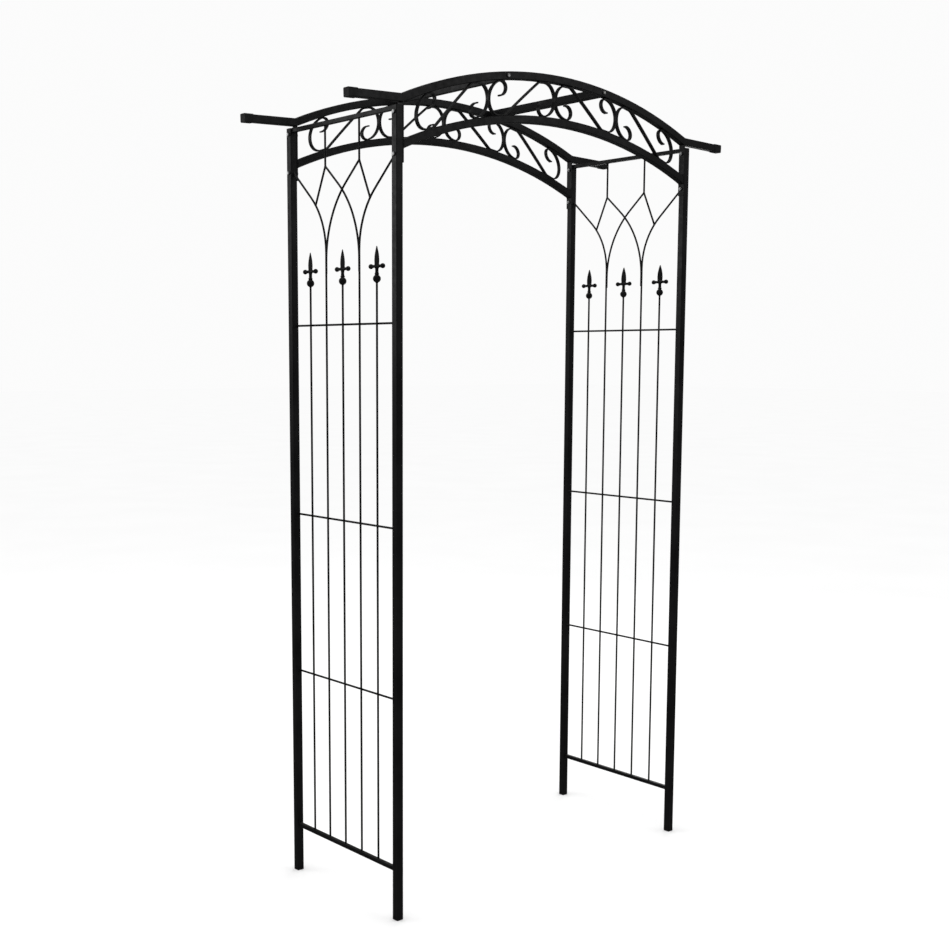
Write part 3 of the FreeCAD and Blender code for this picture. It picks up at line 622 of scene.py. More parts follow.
def touching_places(first: str, second: str) -> list[Vector]:
    """Finds where two nodes touch.

    Args:
        first: One node.
        second: The other node.

    Returns:
        The middle of each contact, from left to right; none where they stay apart.
    """
    mesh = frame["nodes"][second].data
    faces = [tuple(face.vertices) for face in mesh.polygons]
    tree = BVHTree.FromPolygons([vertex.co for vertex in mesh.vertices], faces)
    touching = []
    for point in corners_of(first):
        nearest, _, _, gap = tree.find_nearest(point, CONTACT_GAP)
        if nearest is not None:
            touching.append((gap, (point + nearest) / 2))
    if not touching:
        return []
    closest = min(gap for gap, _ in touching)
    places = [place for gap, place in touching if gap < closest + CONTACT_SPREAD]
    contacts: list[list[Vector]] = []
    for place in sorted(places, key=lambda p: p.x):
        if not contacts or place.x - contacts[-1][-1].x > CONTACT_SPACING:
            contacts.append([])
        contacts[-1].append(place)
    return [Block.round_points(contact).centre for contact in contacts]


# ---------------------------------------------------------------- mesh making


class MeshShop:
    """Collects geometry and turns it into one object."""

    def __init__(self) -> None:
        """Starts with no geometry."""
        self.form = bmesh.new()

    def skin(self, rings: Sequence[Sequence[Vector]], closed: bool = False) -> None:
        """Surface through rings of equal count, with its open ends closed.

        Args:
            rings: Points of each ring, in order along the piece.
            closed: Joins the last ring to the first.
        """
        rows = [[self.form.verts.new(point) for point in ring] for ring in rings]
        count = len(rows[0])
        pairs = list(zip(rows, rows[1:])) + ([(rows[-1], rows[0])] if closed else [])
        for lower, upper in pairs:
            for step in range(count):
                after = (step + 1) % count
                self.form.faces.new((lower[step], lower[after], upper[after], upper[step]))
        if not closed:
            for row, facing in ((rows[0], -1), (rows[-1], 1)):
                self.close_end(row, facing)

    def close_end(self, row: Sequence[bmesh.types.BMVert], facing: int) -> None:
        """Fan that closes a ring.

        Args:
            row: The ring's vertices.
            facing: -1 where the ring starts the piece, 1 where it ends it.
        """
        middle = self.form.verts.new(sum((v.co for v in row), Vector()) / len(row))
        for step in range(len(row)):
            first, second = row[step], row[(step + 1) % len(row)]
            self.form.faces.new((middle, first, second) if facing > 0 else (middle, second, first))

    def object(self, name: str, sharp_angle: float = PLAIN_SHARP) -> bpy.types.Object:
        """Turns the geometry into an object with smooth faces and sharp edges.

        Args:
            name: The object's name.
            sharp_angle: How far the faces turn at an edge that stays sharp, in degrees.

        Returns:
            The object, in the scene.
        """
        bmesh.ops.recalc_face_normals(self.form, faces=self.form.faces)
        limit = math.radians(sharp_angle)
        for edge in self.form.edges:
            edge.smooth = len(edge.link_faces) != 2 or edge.calc_face_angle() < limit
        for face in self.form.faces:
            face.smooth = True
        mesh = bpy.data.meshes.new(name)
        self.form.to_mesh(mesh)
        self.form.free()
        made = bpy.data.objects.new(name, mesh)
        bpy.context.scene.collection.objects.link(made)
        return made


def turn_angles(count: int) -> list[float]:
    """Angles that share out a full turn."""
    return [2 * math.pi * step / count for step in range(count)]


def polar_ring(count: int, radius: Callable[[float], float],
               height: Callable[[float], float]) -> list[Vector]:
    """Ring round Z whose radius and height may change with the angle.

    Args:
        count: Points on the ring.
        radius: Radius at an angle.
        height: Height at an angle.

    Returns:
        The ring's points.
    """
    return [Vector((radius(a) * math.cos(a), radius(a) * math.sin(a), height(a)))
            for a in turn_angles(count)]


def round_ring(count: int, radius: float, height: float) -> list[Vector]:
    """Plain circle round Z."""
    return polar_ring(count, lambda a: radius, lambda a: height)


# ---------------------------------------------------------------- fasteners


@dataclass(frozen=True)
class HexagonEnd:
    """Hexagon with chamfered corners, as on a bolt head or a nut."""

    across_flats: float = 10.0 * MM
    chamfer_share: float = 0.955
    chamfer_angle: float = 28.0
    points: int = 96

    def outline(self, angle: float) -> float:
        """Radius of the hexagon at an angle, with a corner at angle 0."""
        turned = (angle + math.pi / 6) % (math.pi / 3) - math.pi / 6
        return self.across_flats / 2 / math.cos(math.pi / 6 - abs(turned))

    def drop(self, angle: float) -> float:
        """How far the chamfer takes the rim down at an angle."""
        rim = self.chamfer_share * self.across_flats / 2
        return max(0.0, self.outline(angle) - rim) * math.tan(math.radians(self.chamfer_angle))

    def chamfered_rings(self, level: float, facing: int) -> list[list[Vector]]:
        """Rings of a chamfered face, from the flats to the flat circle.

        Args:
            level: Height of the face.
            facing: 1 where the face looks up, -1 where it looks down.

        Returns:
            The rings, from the outside inwards.
        """
        rim = self.chamfer_share * self.across_flats / 2
        outer = polar_ring(self.points, self.outline, lambda a: level - facing * self.drop(a))
        return [outer, round_ring(self.points, rim, level)]


@dataclass(frozen=True)
class Thread:
    """Metric thread, as radius against angle and height."""

    radius: float = 3.0 * MM
    pitch: float = 1.0 * MM
    depth: float = 0.55 * MM
    tip_chamfer: float = 0.7 * MM
    points: int = 48
    rings_per_turn: int = 10

    def radius_at(self, angle: float, height: float) -> float:
        """Radius on the flank at an angle and a height."""
        phase = (height / self.pitch - angle / (2 * math.pi)) % 1.0
        return self.radius - self.depth * abs(2 * phase - 1)

    def rod(self, low: float, high: float) -> list[list[Vector]]:
        """Rings of a threaded end with a chamfered tip.

        Args:
            low: Where the thread starts.
            high: Its tip.

        Returns:
            The rings, from low to high.
        """
        steps = max(2, round((high - low) / self.pitch * self.rings_per_turn))
        rings = []
        for step in range(steps + 1):
            level = low + (high - low) * step / steps
            cut = self.radius - max(0.0, level - (high - self.tip_chamfer))
            rings.append(polar_ring(self.points, lambda a: min(self.radius_at(a, level), cut),
                                    lambda a: level))
        return rings


@dataclass(frozen=True)
class HexBolt:
    """Hexagon bolt along +Z with the underside of its head at z = 0."""

    hexagon: HexagonEnd = HexagonEnd()
    thread: Thread = Thread()
    head_height: float = 4.0 * MM
    washer_face: float = 0.3 * MM
    bearing_share: float = 0.94
    dish: tuple[tuple[float, float], ...] = ((0.80, 0.0), (0.66, 0.25 * MM), (0.30, 0.32 * MM))
    thread_length: float = 16.0 * MM

    def build(self, shop: MeshShop, place: Matrix, grip: float) -> None:
        """Adds the bolt.

        Args:
            shop: Where the geometry goes.
            place: The bolt's place.
            grip: Length from under the head to the tip.
        """
        count, flat = self.hexagon.points, self.hexagon.across_flats / 2
        top = self.hexagon.chamfered_rings(-self.head_height, -1)
        dish = [round_ring(count, share * flat, -self.head_height + sink)
                for share, sink in self.dish]
        head = list(reversed(dish)) + list(reversed(top))
        head.append(polar_ring(count, self.hexagon.outline, lambda a: -self.washer_face))
        for level in (-self.washer_face, 0.0):
            head.append(round_ring(count, self.bearing_share * flat, level))
        shop.skin([[place @ p for p in ring] for ring in head])
        shank = [round_ring(self.thread.points, self.thread.radius, level)
                 for level in (0.0, grip - self.thread_length)]
        rod = shank + self.thread.rod(grip - self.thread_length, grip)
        shop.skin([[place @ p for p in ring] for ring in rod])


@dataclass(frozen=True)
class HexNut:
    """Hexagon nut along +Z, standing on z = 0."""

    hexagon: HexagonEnd = HexagonEnd()
    height: float = 5.0 * MM
    bore: float = 3.05 * MM
    countersink: float = 0.35 * MM

    def build(self, shop: MeshShop, place: Matrix) -> None:
        """Adds the nut.

        Args:
            shop: Where the geometry goes.
            place: The nut's place.
        """
        count = self.hexagon.points
        lead = self.bore + self.countersink
        low_outer, low_inner = self.hexagon.chamfered_rings(0.0, -1)
        rings = [
            round_ring(count, self.bore, self.countersink),
            round_ring(count, lead, 0.0),
            low_inner, low_outer, *self.hexagon.chamfered_rings(self.height, 1),
            round_ring(count, lead, self.height),
            round_ring(count, self.bore, self.height - self.countersink),
        ]
        shop.skin([[place @ p for p in ring] for ring in rings], closed=True)


@dataclass
class Fasteners:
    """Bolts and nuts of the post joints and the roof bars."""

    book: FinishBook
    bolt: HexBolt = HexBolt()
    nut: HexNut = HexNut()

    def place(self, block: Block, axis: int, inset: float) -> Matrix:
        """Place of a fastener that points inwards from its outer face.

        Args:
            block: The CAD fastener's block.
            axis: The axis that it lies along, 0 for X or 1 for Y.
            inset: How far its origin is in from the outer face.

        Returns:
            The place, with a corner of the hexagon up or sideways.
        """
        outwards = math.copysign(1.0, block.centre[axis])
        seat = block.centre.copy()
        seat[axis] = (block.high if outwards > 0 else block.low)[axis] - outwards * inset
        along, corner = ((X_WAY, Z_WAY), (Y_WAY, X_WAY))[axis]
        heading = along * -outwards
        turn = Matrix((corner, heading.cross(corner), heading)).transposed().to_4x4()
        return Matrix.Translation(seat) @ turn

    def bolts(self, node: str, name: str, axis: int) -> None:
        """Builds bolts with their heads outside, in place of the CAD ones.

        Args:
            node: The CAD node.
            name: Name of the new piece.
            axis: The axis that the bolts lie along.
        """
        shop = MeshShop()
        for block in solids_of(node):
            place = self.place(block, axis, self.bolt.head_height)
            self.bolt.build(shop, place, block.size[axis] - self.bolt.head_height)
        self.swap_in(shop, name, node)

    def nuts(self, node: str, name: str) -> None:
        """Builds the nuts inside the end plates, in place of the CAD ones.

        Args:
            node: The CAD node.
            name: Name of the new piece.
        """
        shop = MeshShop()
        for block in solids_of(node):
            self.nut.build(shop, self.place(block, 0, 0.0))
        self.swap_in(shop, name, node)

    def swap_in(self, shop: MeshShop, name: str, node: str) -> None:
        """Makes the piece, dresses it and takes the CAD node out of sight.

        Args:
            shop: The piece's geometry.
            name: Its name.
            node: The CAD node that it replaces.
        """
        piece = shop.object(name, FASTENER_SHARP)
        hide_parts(node)
        self.book.dress(piece, Slot.ZINC)

    def build(self) -> None:
        """Builds every bolt and nut."""
        self.bolts("corner_bolts", "post_joint_bolts", 0)
        self.nuts("corner_nuts", "post_joint_nuts")
        self.bolts("roof_bar_bolts", "roof_bar_screws", 1)


# ---------------------------------------------------------------- cast finials


@dataclass(frozen=True)
class SpearFinial:
    """Cast spear finial: ball, collar, neck, arms with balls and a ridged blade.

    The outlines are in millimetres: radius and height up the neck, radius and reach along
    an arm, and height, half width and half depth up the blade.
    """

    ball_radius: float = 11.0 * MM
    ball_top: float = 66.0
    ball_steps: int = 15
    seat_radius: float = 3.8 * MM
    foot_radius: float = 0.4 * MM
    neck: Outline = ((5.0, 21.0), (5.6, 21.6), (6.5, 22.0), (6.7, 22.9), (6.6, 23.9), (5.8, 24.6),
                     (5.2, 25.4), (4.9, 27.5), (4.7, 31.0), (4.8, 35.0), (5.3, 38.5), (6.1, 41.5),
                     (6.4, 44.0), (5.8, 47.0), (3.8, 49.4), (0.4, 50.4))
    arm_height: float = 44.0 * MM
    arm_reach: float = 26.5 * MM
    arm: Outline = ((5.4, -1.0), (5.2, 4.0), (4.6, 7.5), (4.2, 11.0), (4.1, 15.0), (4.5, 18.0),
                    (5.0, 20.0))
    arm_ball_radius: float = 7.0 * MM
    arm_ball_span: tuple[float, float] = (-46.0, 88.0)
    arm_ball_steps: int = 14
    blade: Outline = ((38.0, 5.0, 3.4), (41.0, 7.6, 3.6), (45.0, 9.8, 3.7), (50.0, 10.9, 3.7),
                      (57.0, 11.4, 3.7), (64.0, 11.3, 3.6), (71.0, 10.6, 3.4), (78.0, 9.2, 3.1),
                      (85.0, 7.0, 2.8), (91.0, 4.8, 2.4), (95.5, 3.0, 2.0), (98.0, 1.8, 1.4),
                      (98.95, 0.8, 0.7))
    blade_points: int = 24
    ridge_power: float = 1.2
    edge_radius: float = 0.6 * MM
    voxel: float = 0.75 * MM
    softening: float = 0.5
    soft_rounds: int = 3
    points: int = 48

    def body_profile(self) -> list[tuple[float, float]]:
        """Outline of the ball, collar and neck.

        Returns:
            Radius and height of each point, from the foot up.
        """
        ball = self.ball_radius
        centre = math.sqrt(ball ** 2 - self.seat_radius ** 2)
        profile = [(self.foot_radius, 0.0), (self.seat_radius, 0.0)]
        first, last = math.asin(-centre / ball), math.radians(self.ball_top)
        for step in range(1, self.ball_steps + 1):
            angle = first + (last - first) * step / self.ball_steps
            profile.append((ball * math.cos(angle), centre + ball * math.sin(angle)))
        return profile + [(radius * MM, level * MM) for radius, level in self.neck]

    def arm_profile(self) -> list[tuple[float, float]]:
        """Outline of one arm and its ball.

        Returns:
            Radius and distance from the middle of each point, going outwards.
        """
        ball, (first, last) = self.arm_ball_radius, self.arm_ball_span
        profile = [(radius * MM, reach * MM) for radius, reach in self.arm]
        for step in range(1, self.arm_ball_steps + 1):
            angle = math.radians(first + (last - first) * step / self.arm_ball_steps)
            profile.append((ball * math.cos(angle), self.arm_reach + ball * math.sin(angle)))
        return profile

    def blade_point(self, angle: float, half_width: float, half_depth: float) -> tuple[float, float]:
        """Point on the blade's section, which has a ridge on each face and round edges.

        Args:
            angle: Its angle, from the edge.
            half_width: Half the blade's width.
            half_depth: Half its depth on the ridge.

        Returns:
            The point's depth and width.
        """
        across, over = math.cos(angle), math.sin(angle)
        ridge = 0.0
        if abs(over) > 1e-9:
            ridge = (1 - abs(across)) ** self.ridge_power * math.copysign(1.0, over)
        flank = max(0.0, half_depth - self.edge_radius)
        return ridge * flank + self.edge_radius * over, across * half_width

    def mesh(self) -> bpy.types.Mesh:
        """The finial as one closed casting with soft inner corners.

        Returns:
            The mesh, standing on z = 0.
        """
        shop = MeshShop()
        shop.skin([round_ring(self.points, radius, level)
                   for radius, level in self.body_profile()])
        for sign in (-1, 1):
            rings = []
            for radius, reach in self.arm_profile():
                ring = round_ring(self.points, radius, 0.0)
                rings.append([Vector((p.x, sign * reach, self.arm_height + sign * p.y))
                              for p in ring])
            shop.skin(rings)
        shop.skin([[Vector((*self.blade_point(a, half_width * MM, half_depth * MM), level * MM))
                    for a in turn_angles(self.blade_points)]
                   for level, half_width, half_depth in self.blade])
        rough = shop.object("finial_pattern")
        cast = rough.modifiers.new("cast", "REMESH")
        cast.mode = "VOXEL"
        cast.voxel_size = self.voxel
        soften = rough.modifiers.new("soften", "SMOOTH")
        soften.factor = self.softening
        soften.iterations = self.soft_rounds
        graph = bpy.context.evaluated_depsgraph_get()
        mesh = bpy.data.meshes.new_from_object(rough.evaluated_get(graph))
        bpy.data.objects.remove(rough)
        return mesh


@dataclass
class FinialRow:
    """The three finials of a side panel."""

    book: FinishBook
    side: Side
    pattern: bpy.types.Mesh

    def build(self) -> None:
        """Sets a casting on each picket in place of the CAD ones."""
        node = self.side.label + "_finials"
        form = bmesh.new()
        for number, block in enumerate(solids_of(node)):
            copy = self.pattern.copy()
            spin = Matrix.Rotation(math.pi * (number % 2), 4, "Z")
            foot = Matrix.Translation((block.centre.x, block.centre.y, block.low.z))
            copy.transform(foot @ spin)
            form.from_mesh(copy)
            bpy.data.meshes.remove(copy)
        for face in form.faces:
            face.smooth = True
        mesh = bpy.data.meshes.new(node)
        form.to_mesh(mesh)
        form.free()
        piece = bpy.data.objects.new(self.side.label + "_spear_finials", mesh)
        bpy.context.scene.collection.objects.link(piece)
        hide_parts(node)
        self.book.dress(piece, Slot.CASTING)


# ---------------------------------------------------------------- welds


@dataclass
class WeldRun:
    """Weld metal laid on one sub-assembly, under the coat."""

    shop: MeshShop = field(default_factory=MeshShop)
    ripple_pitch: float = 1.15 * MM
    ripple_depth: float = 0.10
    unevenness: float = 0.12
    bead_lumps_per_metre: float = 420.0
    nugget_lumps_per_metre: float = 600.0
    nugget_reach: float = 2.0 * MM
    step_share: float = 0.36
    fewest_steps: int = 6
    blunt_end: float = 0.25
    around: int = 8
    collar_points: int = 28
    corner_steps: int = 4
    nugget_levels: int = 8
    nugget_points: int = 14

    def swell(self, place: Vector, run: float) -> float:
        """How fat the bead is at a place, against its plain size.

        Args:
            place: The place.
            run: Length of bead laid up to it.

        Returns:
            The share.
        """
        ripple = self.ripple_depth * math.sin(2 * math.pi * run / self.ripple_pitch)
        lump = self.unevenness * noise.noise(place * self.bead_lumps_per_metre)
        return 1 + ripple + lump

    def taper(self, share: float) -> float:
        """How fat an open bead is at a share of its length: full, with blunt round ends."""
        return max(self.blunt_end, math.sqrt(max(0.0, 1 - (2 * share - 1) ** 6)))

    def bead(self, path: Sequence[Vector], radius: float, closed: bool = False) -> None:
        """Lays a rippled bead.

        Args:
            path: Points along the seam.
            radius: The bead's radius.
            closed: True for a seam that meets its own start.
        """
        points = self.resample(path, closed)
        count = len(points)
        rings, run, aside = [], 0.0, None
        for index, point in enumerate(points):
            before = points[(index - 1) % count] if closed or index else point
            after = points[(index + 1) % count] if closed or index < count - 1 else point
            heading = (after - before).normalized()
            if aside is None:
                aside = heading.orthogonal().normalized()
            else:
                run += (point - points[index - 1]).length
                aside = (aside - heading * aside.dot(heading)).normalized()
            over = heading.cross(aside)
            fat = radius * self.swell(point, run)
            if not closed:
                fat *= self.taper(index / (count - 1))
            rings.append([point + (aside * math.cos(a) + over * math.sin(a)) * fat
                          for a in turn_angles(self.around)])
        self.shop.skin(rings, closed)

    def resample(self, path: Sequence[Vector], closed: bool) -> list[Vector]:
        """Spreads points evenly along a path.

        Args:
            path: The path.
            closed: True if it runs back to its start.

        Returns:
            Points about a third of a ripple apart.
        """
        ends = list(path) + ([path[0]] if closed else [])
        lengths = [(b - a).length for a, b in zip(ends, ends[1:])]
        whole = sum(lengths)
        count = max(self.fewest_steps, math.ceil(whole / (self.step_share * self.ripple_pitch)))
        spread, leg, passed = [], 0, 0.0
        for step in range(count if closed else count + 1):
            goal = whole * step / count
            while leg < len(lengths) - 1 and passed + lengths[leg] < goal:
                passed += lengths[leg]
                leg += 1
            share = (goal - passed) / lengths[leg]
            spread.append(ends[leg].lerp(ends[leg + 1], min(1.0, share)))
        return spread

    def collar(self, centre: Vector, along: Vector, radii: tuple[float, float],
               size: float) -> None:
        """Bead round the end of a rod.

        Args:
            centre: Where the rod meets the face.
            along: The face's normal, which is level with Y or Z.
            radii: Half widths of the rod's outline on the face, along X and across it.
            size: The bead's radius.
        """
        second = along.cross(X_WAY).normalized()
        path = [centre + X_WAY * radii[0] * math.cos(a) + second * radii[1] * math.sin(a)
                for a in turn_angles(self.collar_points)]
        self.bead(path, size, closed=True)

    def square_collar(self, low: Vector, high: Vector, corner: float, size: float) -> None:
        """Bead round the end of a square tube, on a plane across X or Y.

        Args:
            low: Lowest corner of the outline.
            high: Highest corner of the outline.
            corner: The tube's corner radius.
            size: The bead's radius.
        """
        axis = min(range(3), key=lambda i: high[i] - low[i])
        across, up = [i for i in range(3) if i != axis]
        middle = (low + high) / 2
        half = ((high[across] - low[across]) / 2 - corner, (high[up] - low[up]) / 2 - corner)
        path = []
        for quarter, (sx, sy) in enumerate(((1, 1), (-1, 1), (-1, -1), (1, -1))):
            for step in range(self.corner_steps + 1):
                angle = math.pi / 2 * (quarter + step / self.corner_steps)
                point = middle.copy()
                point[across] += sx * half[0] + corner * math.cos(angle)
                point[up] += sy * half[1] + corner * math.sin(angle)
                path.append(point)
        self.bead(path, size, closed=True)

    def nugget(self, centre: Vector, axes: Matrix, radii: tuple[float, float, float]) -> None:
        """Lump of fused metal where two bars cross.

        Args:
            centre: Its middle.
            axes: Its three directions, as columns.
            radii: Its half lengths along them.
        """
        rings = []
        for level in range(1, self.nugget_levels):
            lift = math.pi * level / self.nugget_levels
            ring = []
            for angle in turn_angles(self.nugget_points):
                unit = Vector((math.sin(lift) * math.cos(angle), math.sin(lift) * math.sin(angle),
                               -math.cos(lift)))
                spot = (centre + unit * self.nugget_reach) * self.nugget_lumps_per_metre
                lump = 1 + self.unevenness * noise.noise(spot)
                ring.append(centre + axes @ Vector([unit[i] * radii[i] * lump for i in range(3)]))
            rings.append(ring)
        self.shop.skin(rings)

    def finish(self, name: str, book: FinishBook, slot: Slot) -> None:
        """Makes the object of all the weld metal laid so far.

        Args:
            name: Its name.
            book: Where its finish comes from.
            slot: Its material slot.
        """
        book.dress(self.shop.object(name, WELD_SHARP), slot)


@dataclass
class SidePanelWelds:
    """Welds of a side panel: rails, rods, stems, tracery and finials."""

    book: FinishBook
    side: Side
    rod_radius: float = 3.0 * MM
    rod_bead: float = 1.0 * MM
    rail_bead: float = 1.25 * MM
    slim_corner: float = 1.0 * MM
    lap_bead: float = 0.95 * MM
    lap_tack: float = 9.0 * MM
    lap_starts: tuple[float, float] = (1.0 * MM, 24.0 * MM)
    lap_depth: float = 0.86
    rod_nugget: tuple[float, float, float] = (2.6 * MM, 2.6 * MM, 1.3 * MM)
    tracery_nugget: tuple[float, float, float] = (2.4 * MM, 3.2 * MM, 1.3 * MM)
    brace_nugget: tuple[float, float, float] = (3.3 * MM, 3.5 * MM, 3.3 * MM)
    run: WeldRun = field(default_factory=WeldRun)

    def node(self, name: str) -> str:
        """Full name of one of this panel's nodes."""
        return self.side.label + "_" + name

    def rod_collar(self, centre: Vector, along: Vector) -> None:
        """Bead round the square-cut end of a rod."""
        self.run.collar(centre, along, (self.rod_radius, self.rod_radius), self.rod_bead)

    def uprights(self) -> list[Vector]:
        """Foot of each upright rod.

        Returns:
            The middle of each foot, on the bottom rail, from front to rear.
        """
        top = Block.of(self.node("bottom_rail")).high.z
        rods = ("front_picket", "front_stem", "middle_picket", "rear_stem", "rear_picket")
        blocks = [near_plane(self.node(name), 2, top) for name in rods]
        return [Vector((block.centre.x, block.centre.y, top)) for block in blocks]

    def rails(self) -> None:
        """Slim rails onto the posts."""
        for level in ("bottom", "top"):
            block = Block.of(self.node(level + "_rail"))
            for face in (block.low.y, block.high.y):
                low = Vector((block.low.x, face, block.low.z))
                high = Vector((block.high.x, face, block.high.z))
                self.run.square_collar(low, high, self.slim_corner, self.rail_bead)

    def cross_rods(self) -> None:
        """Cross rods onto the posts and across the uprights."""
        axes = Matrix(((0, 0, -self.side.value), (1, 0, 0), (0, 1, 0)))
        for level in ("lower", "middle", "upper"):
            block = Block.of(self.node(level + "_cross_rod"))
            for face in (block.low.y, block.high.y):
                self.rod_collar(Vector((block.centre.x, face, block.centre.z)), Y_WAY)
            for foot in self.uprights():
                touch = Vector(((foot.x + block.centre.x) / 2, foot.y, block.centre.z))
                self.run.nugget(touch, axes, self.rod_nugget)

    def feet(self) -> None:
        """Upright rods onto the bottom rail."""
        for foot in self.uprights():
            self.rod_collar(foot, Z_WAY)

    def stems(self) -> None:
        """Bent stems onto the posts."""
        for end in End:
            name = self.node(end.label + "_stem")
            whole = Block.of(name)
            face = whole.high.y if end is End.REAR else whole.low.y
            cut = near_plane(name, 1, face)
            radii = (cut.size.x / 2, cut.size.z / 2)
            self.run.collar(cut.centre, Y_WAY, radii, self.rod_bead)

    def laps(self, end: End, foot: Vector, low: float) -> None:
        """Tacks in both grooves where a tracery bar lies beside its stem.

        Args:
            end: The bar's end of the panel.
            foot: Middle of the bar's foot.
            low: Height of the bar's foot.
        """
        rail_top = Block.of(self.node("bottom_rail")).high.z
        stem = near_plane(self.node(end.label + "_stem"), 2, rail_top).centre
        line = Vector((foot.x - stem.x, foot.y - stem.y, 0))
        aside = Vector((-line.y, line.x, 0)).normalized()
        middle = Vector((stem.x + line.x / 2, stem.y + line.y / 2, 0))
        reach = self.rod_radius + self.lap_bead
        offset = math.sqrt(reach ** 2 - self.rod_radius ** 2) * self.lap_depth
        for start in self.lap_starts:
            for sign in (-1, 1):
                base = middle + aside * sign * offset + Z_WAY * (low + start)
                self.run.bead([base, base + Z_WAY * self.lap_tack], self.lap_bead)

    def tracery(self) -> None:
        """Tracery bars: onto the stems and the top rail, and tacked where they cross."""
        for end in End:
            name = self.node(end.label + "_tracery")
            whole = Block.of(name)
            self.rod_collar(near_plane(name, 2, whole.high.z).centre, Z_WAY)
            self.laps(end, near_plane(name, 2, whole.low.z).centre, whole.low.z)
        axes = Matrix(((0, 0, 1), (1, 0, 0), (0, 1, 0)))
        for crossing in touching_places(self.node("front_tracery"), self.node("rear_tracery")):
            self.run.nugget(crossing, axes, self.tracery_nugget)

    def braces(self) -> None:
        """Short braces onto a stem and onto the tracery bar that runs up over it."""
        for end, other in ((End.FRONT, End.REAR), (End.REAR, End.FRONT)):
            brace = self.node(end.label + "_brace")
            for bar in (self.node(end.label + "_stem"), self.node(other.label + "_tracery")):
                for touch in touching_places(brace, bar):
                    self.run.nugget(touch, Matrix.Identity(3), self.brace_nugget)

    def finials(self) -> None:
        """Finials onto the pickets."""
        for block in solids_of(self.node("finials")):
            self.rod_collar(Vector((block.centre.x, block.centre.y, block.low.z)), Z_WAY)

    def build(self) -> None:
        """Lays every weld of the panel."""
        self.rails()
        self.cross_rods()
        self.feet()
        self.stems()
        self.tracery()
        self.braces()
        self.finials()
        self.run.finish(self.node("panel_welds"), self.book, Slot.ROD)


@dataclass
class TrussWelds:
    """Welds of an arched truss: scrolls onto rails and each other, and end plates onto rails."""

    book: FinishBook
    end: End
    scrolls: int = 4
    bar_half_width: float = 6.0 * MM
    bead_size: float = 1.25 * MM
    half_run: float = 6.5 * MM
    seam_lift: float = 0.5 * MM
    plate_lift: float = 0.4
    tube_corner: float = 2.0 * MM
    run: WeldRun = field(default_factory=WeldRun)

    def node(self, name: str) -> str:
        """Full name of one of this truss's nodes."""
        return self.end.label + "_" + name

    def edge_beads(self, touch: Vector, heading: Vector, lift: Vector) -> None:
        """Short beads along both edges of a flat bar where it touches something.

        Args:
            touch: Middle of the contact.
            heading: Direction of the seam.
            lift: Shift of the beads off the seam.
        """
        along = heading * self.half_run
        for sign in (-1, 1):
            start = touch + lift + Y_WAY * sign * self.bar_half_width
            self.run.bead([start - along, start, start + along], self.bead_size)

    def arch_heading(self, x: float) -> Vector:
        """Direction of the arch at a place across the walkway.

        Args:
            x: The place.

        Returns:
            The direction, as a unit vector that points to the right.
        """
        node = self.node("lower_rail")
        rail = Block.of(node)
        rise = rail.high.z - near_plane(node, 0, rail.high.x).high.z
        radius = ((rail.size.x / 2) ** 2 + rise ** 2) / (2 * rise)
        slope = math.asin(max(-1.0, min(1.0, x / radius)))
        return Vector((math.cos(slope), 0, -math.sin(slope)))

    def scroll_welds(self) -> None:
        """Scrolls onto the rails and onto each other."""
        for number in range(1, self.scrolls + 1):
            scroll = self.node("scroll_%d" % number)
            middle = Block.of(scroll).centre.y
            for rail, sign in (("upper_rail", -1), ("lower_rail", 1)):
                for touch in touching_places(scroll, self.node(rail)):
                    heading = self.arch_heading(touch.x)
                    away = Vector((-heading.z, 0, heading.x)) * sign
                    touch.y = middle
                    self.edge_beads(touch, heading, away * self.seam_lift)
            if number < self.scrolls:
                for touch in touching_places(scroll, self.node("scroll_%d" % (number + 1))):
                    touch.y = middle
                    self.edge_beads(touch, Z_WAY, Vector())

    def plate_welds(self) -> None:
        """End plates onto both rails."""
        inset = self.tube_corner + self.bead_size
        for side in Side:
            plate = self.node(side.label + "_end_plate")
            whole = Block.of(plate)
            inner, outer = whole.low.x, whole.high.x
            if side is Side.LEFT:
                inner, outer = outer, inner
            cut = near_plane(self.node("lower_rail"), 0, inner)
            self.run.square_collar(cut.low, cut.high, self.tube_corner, self.bead_size)
            for face, outwards in ((inner, -side.value), (outer, side.value)):
                top = near_plane(plate, 0, face).high.z
                x = face + outwards * self.plate_lift * self.bead_size
                path = [Vector((x, y, top)) for y in (whole.low.y + inset, whole.high.y - inset)]
                self.run.bead(path, self.bead_size)

    def build(self) -> None:
        """Lays every weld of the truss."""
        self.scroll_welds()
        self.plate_welds()
        self.run.finish(self.node("truss_welds"), self.book, Slot.FLAT_BAR)


# ---------------------------------------------------------------- studio


@dataclass(frozen=True)
class SoftBox:
    """A rectangular studio light."""

    name: str
    place: tuple[float, float, float]
    aim: tuple[float, float, float]
    size: tuple[float, float]
    power: float
    tint: Colour = (1.0, 1.0, 1.0)

    def hang(self) -> None:
        """Puts the light in the scene."""
        light = bpy.data.lights.new(self.name, "AREA")
        light.shape = "RECTANGLE"
        light.size, light.size_y = self.size
        light.energy = self.power
        light.color = self.tint
        lamp = bpy.data.objects.new(self.name, light)
        lamp.location = self.place
        throw = Vector(self.aim) - Vector(self.place)
        lamp.rotation_euler = throw.to_track_quat("-Z", "Y").to_euler()
        bpy.context.scene.collection.objects.link(lamp)


